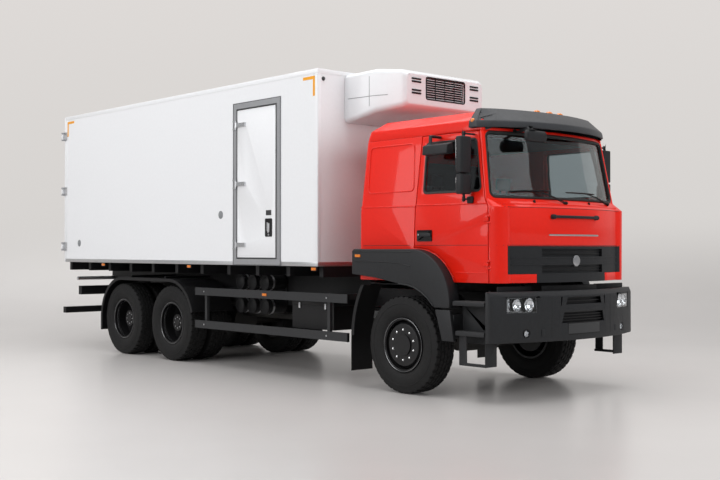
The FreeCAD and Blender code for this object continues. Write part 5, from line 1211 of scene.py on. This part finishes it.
def marker_lamps():
    """Small amber side lamps under the box's edge, each on a bracket, and lamps high on the front wall."""
    for side, word in SIDES:
        for number, x in enumerate((-3.335, -0.915, 1.800), start=1):
            y = BOX_SIDE * side
            foot = block("foot", (x - 0.050, y - 0.040 * side, BOX_BASE - 0.056),
                         (x + 0.050, y - 0.012 * side, BOX_BASE + 0.001))
            finish(eased(foot, 0.003), BLACK_PLASTIC, "chassis", 30)
            foot.name = f"marker_bracket_{number}_{word}"
            lens = block("lens", (x - 0.042, y - 0.014 * side, BOX_BASE - 0.049),
                         (x + 0.042, y - 0.001 * side, BOX_BASE - 0.015))
            finish(eased(lens, 0.005, 3), AMBER, "chassis", 40)
            lens.name = f"marker_lens_{number}_{word}"
        place = (BOX_FRONT, 1.205 * side, 3.640)
        high = spun(f"front_wall_lamp_{word}", place, "x",
                    [(0.0, 0.020), (0.016, 0.017), (0.024, 0.008), (0.026, -0.002)], 24)
        finish(high, PLATE_BLANK, "chassis", 50)


def side_door_fittings():
    """Gasket, hinge plates, lock case with its lever, and a blank label on the side door."""
    rear, ahead, low, high, face = 0.249, 1.081, 1.480, 3.406, -1.298
    gasket = [(x, face - 0.001, z) for x, z in ((rear, low), (ahead, low), (ahead, high), (rear, high))]
    finish(bar("side_door_gasket", gasket, 0.007, 8, closed=True), SEAL_RUBBER, "side_leaf",
           60)
    plates, pins = [], []
    for z in (1.650, 2.440, 3.210):
        plates.append(block("plate", (0.258, -1.3213, z - 0.026), (0.442, face + 0.002, z + 0.026)))
        plates += [barrel("screw", "y", (x, -1.3222, z), 0.007, 0.003, 8) for x in (0.30, 0.35, 0.40)]
        pins.append(barrel("pin", "z", (0.242, -1.316, z), 0.0125, 0.080, 20))
    finish(eased(joined("side_hinge_plates", plates + pins), 0.001, 1), STAINLESS, "side_leaf",
           30)
    rim = slab("side_lock_rim", "xz", rounded([(0.858, 1.750), (1.004, 1.750), (1.004, 1.980),
                                               (0.858, 1.980)], 0.018),
               (face - 0.004, face + 0.001))
    inset(rim, lambda p, n: n.y < -0.9, 0.014, -0.003)
    finish(rim, BLACK_PLASTIC, "side_leaf", 30)
    lever = bar("side_lock_lever", [(0.931, face - 0.004, 1.800), (0.931, face - 0.019, 1.830),
                                    (0.931, face - 0.019, 1.930)], 0.009, 12,
                soft=0.01)
    finish(lever, STAINLESS, "side_leaf", 50)
    keeper = spun("side_lock_keyhole", (0.931, 0, 1.775), "y",
                  [(0.0, face - 0.008), (0.011, face - 0.008), (0.013, face - 0.005),
                                                              (0.013, face + 0.002)], 20)
    finish(keeper, STAINLESS, "side_leaf", 40)
    label = block("side_door_label", (0.875, face - 0.0016, 2.020), (0.985, face + 0.001, 2.085))
    finish(label, PLATE_BLANK, "side_leaf", 30)
    frame_line = [(x, -1.2985, z) for x, z in ((0.162, 1.393), (1.168, 1.393), (1.168, 3.493),
                                               (0.162, 3.493))]
    finish(bar("side_frame_edge", frame_line, 0.004, 6, closed=True), SEAL_RUBBER, "chassis",
           60)


def rear_door_fittings():
    """Gasket, bright lock rods with levers and guides, and hinge plates on each rear leaf."""
    face = BOX_REAR + 0.030
    for side, word in SIDES:
        body = f"rear_leaf_{word}"
        gasket = [(face - 0.001, y * side, z) for y, z in ((0.012, 1.398), (1.276, 1.398), (1.276, 3.744),
                                                           (0.012, 3.744))]
        finish(bar(f"rear_gasket_{word}", gasket, 0.008, 8, closed=True), SEAL_RUBBER, body,
               60)
        rod_y = 0.197 * side
        rod = bar(f"lock_rod_cover_{word}", [(face - 0.014, rod_y, 1.430), (face - 0.014, rod_y, 3.700)],
                  0.0138, 16)
        finish(rod, STAINLESS, body, 50)
        cases = []
        for z in (1.476, 2.486, 3.668):
            cases.append(block("case", (face - 0.0292, rod_y - 0.032, z - 0.026),
                               (face + 0.001, rod_y + 0.032, z + 0.026)))
            cases += [barrel("screw", "x", (face - 0.0275, rod_y + dy, z + dz), 0.005, 0.004, 8)
                      for dy in (-0.022, 0.022) for dz in (-0.016, 0.016)]
        for z in (1.638, 2.544, 3.440):
            cases.append(block("strap", (face - 0.0130, 0.962 * side, z - 0.040),
                               (face + 0.001, 1.284 * side, z + 0.040)))
            cases += [barrel("bolt", "x", (face - 0.0135, y * side, z), 0.008, 0.006, 6)
                      for y in (1.0, 1.07, 1.14, 1.21)]
        finish(eased(joined(f"rear_door_ironwork_{word}", cases), 0.0015, 1), STAINLESS, body,
               30)
        lever = bar(f"rear_lever_{word}", [(face - 0.016, rod_y, 2.150),
                                           (face - 0.0285, rod_y + 0.05 * side, 2.150),
                                          (face - 0.0285, rod_y + 0.34 * side,
                                           2.150)], 0.0105, 12, soft=0.02)
        finish(lever, STAINLESS, body, 50)
        keep = block(f"lever_keeper_{word}", (face - 0.029, rod_y + 0.300 * side, 2.118),
                     (face + 0.001, rod_y + 0.345 * side, 2.182))
        finish(eased(keep, 0.003), STAINLESS, body, 30)


def cooling_unit_fittings():
    """Backing and frame of the unit's grille, the vents beside it, and its joints."""
    face = 2.765
    back = block("unit_grille_back", (face - 0.061, -0.331, 3.389), (face - 0.053, 0.331, 3.641))
    finish(back, BLACK_PLASTIC, "chassis", 30)
    outline = rounded([(-0.338, 3.383), (0.338, 3.383), (0.338, 3.647), (-0.338, 3.647)], 0.03)
    finish(bar("unit_grille_frame", [(face - 0.001, *corner) for corner in outline], 0.009, 8, closed=True),
           BLACK_PLASTIC,
           "chassis", 60)
    slats = []
    for k in range(9):
        z = 3.390 + 0.250 * (k + 0.5) / 9
        slats.append(slab("slat", "xz", [(face - 0.046, z - 0.010), (face - 0.008, z + 0.002),
                                         (face - 0.008, z + 0.006),
                                         (face - 0.046, z - 0.006)], (-0.329, 0.329)))
    posts = [block("post", (face - 0.050, y - 0.004, 3.391), (face - 0.012, y + 0.004, 3.639))
             for y in (-0.165, 0.0, 0.165)]
    finish(joined("unit_louvres", slats + posts), BLACK_PLASTIC, "chassis", 30)
    nodes = ("cooling_unit",)
    vents = []
    for side, word in SIDES:
        for low, high in ((3.575, 3.610), (3.440, 3.475)):
            for z in (low, high):
                points = [strike(nodes, (6.0, y * side, z), (-1, 0, 0))[0] for y in (0.43, 0.48, 0.53, 0.58)]
                vents.append(bar("vent", points, 0.012, 8))
    finish(joined("unit_side_vents", vents), BLACK_PLASTIC, "chassis", 60)
    lines = []
    for side, word in SIDES:
        run = [strike(nodes, (x, 3.0 * side, 3.420), (0, -side, 0))[0]
               for x in (1.95, 2.10, 2.25, 2.40, 2.55)]
        lines.append(bar("line", run, 0.004, 6))
        rise = [strike(nodes, (2.30, 3.0 * side, z), (0, -side, 0))[0]
                for z in (3.30, 3.40, 3.50, 3.60, 3.66)]
        lines.append(bar("line", rise, 0.004, 6))
    across = [strike(nodes, (x, 0.0, 5.0), (0, 0, -1))[0] for x in (1.95, 2.30, 2.60)]
    lines.append(bar("line", across, 0.004, 6))
    finish(joined("unit_joints", lines), GREY_MARK, "chassis", 60)


box_trims()
corner_marks()
marker_lamps()
side_door_fittings()
rear_door_fittings()
cooling_unit_fittings()


# ---- chassis fittings --------------------------------------------------------------------------

def tank_fittings():
    """Domed ends of the air tanks, straps round the fuel tank and the lid of the battery box."""
    low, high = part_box("air_tanks")
    domes, rings = [], []
    for column in range(3):
        for level in (0, 1):
            x = low.x + 0.104 + 0.280 * column
            z = (high.z - 0.104, low.z + 0.104)[level]
            domes.append(spun("dome", (x, 0, z), "y", [(0.0, low.y - 0.016), (0.045, low.y - 0.013),
                                                       (0.082, low.y - 0.004),
                                                      (0.100, low.y + 0.010), (0.1045, low.y + 0.020)], 28))
            rings.append(bar("ring", [(x, low.y + 0.075, z), (x, low.y + 0.105, z)], 0.107, 28))
    finish(joined("air_tank_ends", domes), BLACK_PLASTIC, "chassis", 40)
    finish(joined("air_tank_straps", rings), STAINLESS, "chassis", 40)
    low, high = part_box("fuel_tank")
    top, near, out = low.z + 0.560, 0.0, high.y
    near = out - 0.600
    outline = rounded([(near - 0.004, low.z - 0.004), (out + 0.004, low.z - 0.004),
                       (out + 0.004, top + 0.004),
                       (near - 0.004, top + 0.004)], 0.094)
    straps = [bar("strap", [(x, *corner) for corner in outline], 0.012, 8, closed=True)
              for x in (low.x + 0.22, low.x + 0.75, low.x + 1.28)]
    finish(joined("fuel_tank_straps", straps), STAINLESS, "chassis", 50)
    low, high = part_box("battery_box")
    outer = low.y
    lid = block("battery_lid", (low.x - 0.006, outer - 0.006, 0.900), (low.x + 0.806, outer + 0.526, 0.992))
    inset(eased(lid, 0.012, 3), lambda p, n: n.z > 0.9, 0.03, 0.006)
    finish(lid, BLACK_PLASTIC, "chassis", 40)
    clips = [block("clip", (x - 0.015, outer - 0.012, 0.860), (x + 0.015, outer - 0.002, 0.930))
             for x in (low.x + 0.15, low.x + 0.65)]
    finish(eased(joined("battery_clips", clips), 0.003), STAINLESS, "chassis", 30)


def guard_fittings():
    """End caps, fixing bolts and a lamp on the side guards."""
    for z in (0.960, 0.509):
        caps = [block("cap", (x - 0.006, -1.2235, z - 0.0015), (x + 0.006, -1.188, z + 0.1055))
                for x in (-0.851, 2.341)]
        both(eased(joined(f"guard_caps_right_{round(z * 1000)}", caps), 0.002), BLACK_PLASTIC, "chassis",
             30)
    bolts = [barrel("bolt", "y", (x, -1.2245, z + 0.052), 0.011, 0.008, 6) for x in (-0.630, 1.970)
             for z in (0.960, 0.509)]
    both(joined("guard_bolts_right", bolts), STAINLESS, "chassis", 30)
    lens = block("guard_lamp_right", (0.70, -1.2320, 0.995), (0.79, -1.2210, 1.028))
    both(eased(lens, 0.004, 3), AMBER, "chassis", 40)


def rear_lamps():
    """Lens rows on the rear lamp boxes, the plate between them and the bright tube above."""
    for side, word in SIDES:
        for name, material, start, end in (("red_inner", RED_LENS, 0.800, 0.905),
                                           ("amber", AMBER, 0.915, 1.020),
                                           ("red_outer", RED_LENS, 1.030, 1.185)):
            lens = block(f"rear_lens_{name}_{word}", (-4.304, start * side, 0.874),
                         (-4.292, end * side, 0.986))
            finish(eased(lens, 0.004, 3), material, "chassis", 40)
        rim = bar(f"rear_lamp_rim_{word}", [(-4.296, y * side, z) for y,
                                            z in ((0.792, 0.866), (1.193, 0.866), (1.193, 0.994),
                                                  (0.792, 0.994))],
                  0.006, 8, closed=True)
        finish(rim, BLACK_PLASTIC, "chassis", 60)
        board = block(f"underrun_board_{word}", (-4.8306, 0.640 * side, 0.556),
                      (-4.828, 1.180 * side, 0.624))
        finish(board, RED_LENS, "chassis", 30)
    tube = bar("rear_tube", [(-4.485, -1.120, 1.118), (-4.485, 1.120, 1.118)], 0.030, 20)
    finish(tube, BAR_ALUMINIUM, "chassis", 50)
    plate = block("rear_plate_blank", (-4.8308, -0.260, 0.560), (-4.8285, 0.260, 0.625))
    finish(plate, PLATE_BLANK, "chassis", 30)


def frame_details():
    """Bolt rows along the rails and spring clamps over the front axle."""
    bolts = []
    for side, word in SIDES:
        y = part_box("chassis_frame")[1].y
        for k in range(30):
            x = -4.30 + 0.29 * k
            bolts.append(barrel("bolt", "y", (x, 0.4325 * side, 0.985), 0.011, 0.010, 6))
    finish(joined("frame_bolts", bolts), FRAME_PAINT, "chassis", 30)
    clamps = []
    for side, word in SIDES:
        for x in (AXLE_X - 0.055, AXLE_X + 0.055):
            clamps.append(bar("clamp", [(x, 0.360 * side, 0.66), (x, 0.360 * side, 0.562),
                                        (x, 0.425 * side, 0.562), (x, 0.425 * side, 0.66)],
                              0.009, 8, soft=0.01))
    finish(joined("front_spring_clamps", clamps), CASTING, "chassis", 50)


tank_fittings()
guard_fittings()
rear_lamps()
frame_details()


# ---- inside the cab ----------------------------------------------------------------------------

CAB_X = AXLE_X - 0.075                 # origin of the cab's own lengths
CAB_FLOOR = 1.300


def stuffed(piece, cap):
    """Swells a closed form as filled cloth does, no point further than the cap, and smooths it."""
    modify(piece, "REMESH", mode="VOXEL", voxel_size=0.013)
    before = [corner.co.copy() for corner in piece.data.vertices]
    only(piece)
    cloth = piece.modifiers.new("Cloth", "CLOTH")
    cloth.settings.use_pressure = True
    cloth.settings.uniform_pressure_force = 4.0
    cloth.settings.effector_weights.gravity = 0.0
    for moment in range(1, 21):
        bpy.context.scene.frame_set(moment)
    bpy.ops.object.modifier_apply(modifier=cloth.name)
    bpy.context.scene.frame_set(1)
    for corner, start in zip(piece.data.vertices, before):
        move = corner.co - start
        if move.length > cap:
            corner.co = start + move * (cap / move.length)
    return modify(piece, "SUBSURF", levels=1)


def seat_pads():
    """Cushion, back and headrest of the right seat as swollen cloth forms, mirrored for the left seat."""
    y, gap = -0.585, 0.014
    x = CAB_X + 0.060
    cushion = block("seat_cushion_right", (x - 0.040 + gap, y - 0.235 + gap, CAB_FLOOR + 0.262),
                    (x + 0.480 - gap, y + 0.235 - gap, CAB_FLOOR + 0.400 - gap))
    back = slab("seat_back_right", "xz", [(x - 0.022, CAB_FLOOR + 0.420), (x + 0.066, CAB_FLOOR + 0.420),
                                          (x - 0.034, CAB_FLOOR + 0.984),
                                          (x - 0.106, CAB_FLOOR + 0.984)], (y - 0.225 + gap,
                                                                            y + 0.225 - gap))
    rest = block("headrest_right", (x - 0.116, y - 0.130 + gap, CAB_FLOOR + 1.004),
                 (x - 0.040, y + 0.130 - gap, CAB_FLOOR + 1.150))
    for piece, cap in ((cushion, 0.012), (back, 0.012), (rest, 0.009)):
        eased(piece, 0.030 if piece is not rest else 0.024, 3)
        stuffed(piece, cap)
        left = copied(piece, piece.name.replace("right", "left"), flip=True)
        for pad in (piece, left):
            finish(pad, CLOTH, "cab", 60)
    frames = []
    for side, word in SIDES:
        middle = 0.585 * side
        frames.append(block("base", (x + 0.004, middle - 0.118 * side, CAB_FLOOR),
                            (x + 0.416, middle + 0.186 * side, CAB_FLOOR + 0.262)))
        frames.append(block("shell", (x - 0.058, middle - 0.200, CAB_FLOOR + 0.300),
                            (x - 0.036, middle + 0.200, CAB_FLOOR + 0.430)))
        for dy in (-0.060, 0.060):
            frames.append(barrel("post", "z", (x - 0.078, middle + dy, CAB_FLOOR + 0.992), 0.007, 0.060, 10))
    base = eased(joined("seat_frames", frames), 0.010, 2)
    finish(base, BLACK_PLASTIC, "cab", 30, replaces=("seats",))


def steering_trim():
    """Horn pad and grip of the steering wheel."""
    place = Matrix.Translation((CAB_X + 0.700, 0.520, 1.960)) @ Matrix.Rotation(math.radians(-32), 4, "Y")
    pad = spun("pad", (0, 0, 0), "z", [(0.0, 0.004), (0.050, 0.000), (0.076, -0.012), (0.080, -0.030),
                                       (0.077, -0.046)], 32)
    finish(copied(pad, "horn_pad", turn=place), BLACK_PLASTIC, "cab", 40)
    only(pad)
    bpy.ops.object.delete()
    ring = [place @ Vector((0.220 * math.cos(a), 0.220 * math.sin(a), 0))
            for a in [math.tau * k / 40 for k in range(40)]]
    finish(bar("steering_grip", ring, 0.0172, 12, closed=True), BLACK_PLASTIC, "cab", 60)


def cab_lining():
    """Linings of the roof, rear wall and screen pillars, and the dashboard's hood and vents."""
    panels = [block("roof", (CAB_X - 0.560, -0.930, 2.786), (CAB_X + 0.900, 0.930, 2.800)),
              block("rear", (CAB_X - 0.652, -0.960, 1.320), (CAB_X - 0.640, 0.960, 2.780))]
    finish(eased(joined("cab_roof_lining", panels), 0.004), TRIM_GREY, "cab", 30)
    for side, word in SIDES:
        pillar = bar(f"screen_pillar_cover_{word}", [(CAB_X + 1.118, 1.040 * side, 2.130),
                                                     (CAB_X + 1.092, 1.026 * side, 2.300),
                                                   (CAB_X + 1.035, 0.998 * side, 2.600), (CAB_X + 0.996,
                                                           0.978 * side, 2.780)], 0.022, 12)
        finish(pillar, TRIM_GREY, "cab", 60)
    hood = eased(block("instrument_hood", (CAB_X + 0.850, 0.300, 1.885), (CAB_X + 1.010, 0.740, 2.052)),
                 0.028, 3)
    finish(hood, BLACK_PLASTIC, "cab", 40)
    vents = [block("vent", (CAB_X + 1.100, y - 0.110, 2.036), (CAB_X + 1.150, y + 0.110, 2.045))
             for y in (-0.66, -0.22, 0.22, 0.66)]
    finish(eased(joined("dashboard_vents", vents), 0.002), BLACK_PLASTIC, "cab", 30)
    radio = block("dashboard_panel", (CAB_X + 0.852, -0.140, 1.700), (CAB_X + 0.862, 0.200, 1.860))
    inset(radio, lambda p, n: n.x < -0.9, 0.015, -0.004)
    finish(radio, BLACK_PLASTIC, "cab", 30)


seat_pads()
steering_trim()
cab_lining()


# ---- studio, light and camera ------------------------------------------------------------------

def sweep():
    """A pale floor that rises into a backdrop behind the truck."""
    outline = [(9, 0), (30, 0)] + [(30 + 9 * math.sin(t), 9 - 9 * math.cos(t)) for t in
                                    [math.radians(a) for a in range(9, 91, 9)]] + [(39, 30)]
    heading = Vector((-math.cos(math.radians(41.99)), math.sin(math.radians(41.99)), 0))
    across = Vector((-heading.y, heading.x, 0))
    start = Vector((9.0, -7.0, 0)) - heading * 17
    points = [start - across * 45 + heading * (a - 9) * 1.5 + Vector((0, 0, b * 1.5)) for a, b in outline]
    piece = pull(drawn("studio_sweep", points, closed=False), across * 90)
    pick(piece, lambda middle, normal: True)
    bpy.ops.mesh.flip_normals()
    done()
    return piece


def studio_finish():
    material = bpy.data.materials.new("studio floor")
    material.use_nodes = True
    tree = material.node_tree
    main, output = tree.nodes["Principled BSDF"], tree.nodes["Material Output"]
    place = add(tree, "ShaderNodeTexCoord").outputs["Object"]
    height = add(tree, "ShaderNodeSeparateXYZ", {0: place}).outputs["Z"]
    speckle = add(tree, "ShaderNodeTexNoise", {"Vector": place, "Scale": 1.2, "Detail": 3.0})
    level = add(tree, "ShaderNodeMapRange", {0: speckle.outputs["Fac"], 1: 0.3, 2: 0.7, 3: 0.515, 4: 0.53})
    tone = add(tree, "ShaderNodeCombineColor", {0: level.outputs[0], 1: level.outputs[0],
                                                2: level.outputs[0]})
    warm = add(tree, "ShaderNodeMix", {0: 1.0, 6: (1.0, 0.965, 0.945, 1), 7: tone.outputs[0]},
               data_type="RGBA",
               blend_type="MULTIPLY")
    tree.links.new(warm.outputs[2], main.inputs["Base Color"])
    main.inputs["Roughness"].default_value = 0.28
    main.inputs["Specular IOR Level"].default_value = 0.45
    far = add(tree, "ShaderNodeMapRange", {0: height, 1: 0.0, 2: 9.0, 3: 0.0, 4: 1.0})
    wall = add(tree, "ShaderNodeMix", {0: far.outputs[0], 6: (0.66, 0.64, 0.62, 1),
                                       7: (0.73, 0.70, 0.68, 1)}, data_type="RGBA")
    glow = add(tree, "ShaderNodeEmission", {"Color": wall.outputs[2], "Strength": 1.0})
    seen = add(tree, "ShaderNodeLightPath")
    share = add(tree, "ShaderNodeMapRange", {0: height, 1: 0.02, 2: 2.5, 3: 0.0, 4: 1.0},
                interpolation_type="SMOOTHSTEP")
    rays = add(tree, "ShaderNodeMath", {0: seen.outputs["Is Camera Ray"], 1: seen.outputs["Is Glossy Ray"]},
               operation="MAXIMUM")
    through = add(tree, "ShaderNodeMath", {0: rays.outputs[0], 1: seen.outputs["Is Transmission Ray"]},
                  operation="MAXIMUM")
    fac = add(tree, "ShaderNodeMath", {0: share.outputs[0], 1: through.outputs[0]}, operation="MULTIPLY")
    mixed = add(tree, "ShaderNodeMixShader", {0: fac.outputs[0], 1: main.outputs[0], 2: glow.outputs[0]})
    behind = add(tree, "ShaderNodeNewGeometry").outputs["Backfacing"]
    clear_back = add(tree, "ShaderNodeBsdfTransparent")
    faced = add(tree, "ShaderNodeMixShader", {0: behind, 1: mixed.outputs[0], 2: clear_back.outputs[0]})
    tree.links.new(faced.outputs[0], output.inputs["Surface"])
    return material


stage_piece = sweep()
only(stage_piece)
stage_piece.data.materials.append(studio_finish())
bpy.ops.object.shade_smooth()


def lamp(name, place, target, size, power, colour=(1, 1, 1)):
    clear()
    bpy.ops.object.light_add(type="AREA", location=place)
    light = bpy.context.object
    light.name = name
    light.data.shape = "RECTANGLE"
    light.data.size, light.data.size_y = size
    light.data.energy = power
    light.data.color = colour
    light.rotation_mode = "QUATERNION"
    light.rotation_quaternion = (Vector(target) - Vector(place)).to_track_quat("-Z", "Y")
    return light


lamp("overhead softbox", (1.0, -1.5, 13.0), (0.0, 0.0, 0.0), (20, 14), 2100)
lamp("side softbox", (0.0, -17.0, 7.5), (0.0, -1.0, 1.6), (18, 8), 1500)
front = lamp("front softbox", (17.0, 3.0, 6.0), (4.0, 0.0, 1.8), (10, 8), 1000)
front.visible_glossy = False           # kept out of the windscreen
lamp("rear softbox", (-15.0, 7.0, 7.0), (-4.0, 0.0, 1.8), (12, 8), 500)

world = bpy.context.scene.world or bpy.data.worlds.new("studio air")
bpy.context.scene.world = world
world.use_nodes = True
air = world.node_tree.nodes["Background"]
air.inputs["Color"].default_value = (0.80, 0.80, 0.81, 1)
air.inputs["Strength"].default_value = 0.40
horizon = add(world.node_tree, "ShaderNodeBackground", {"Color": (0.71, 0.68, 0.66, 1), "Strength": 1.0})
direct = add(world.node_tree, "ShaderNodeLightPath").outputs["Is Camera Ray"]
either = add(world.node_tree, "ShaderNodeMixShader", {0: direct, 1: air.outputs[0], 2: horizon.outputs[0]})
world.node_tree.links.new(either.outputs[0], world.node_tree.nodes["World Output"].inputs["Surface"])

bpy.ops.object.camera_add(location=(11.752, -9.490, 1.590))
camera = bpy.context.object
camera.name = "three quarter view"
camera.data.lens, camera.data.sensor_width = 53.7, 36.0
camera.data.clip_end = 400.0
yaw, tip = math.radians(41.99), math.radians(0.5)
sight = Vector((-math.cos(yaw) * math.cos(tip), math.sin(yaw) * math.cos(tip), math.sin(tip)))
camera.rotation_mode = "QUATERNION"
camera.rotation_quaternion = sight.to_track_quat("-Z", "Y")
bpy.context.scene.camera = camera
bpy.context.scene.view_settings.view_transform = "Standard"
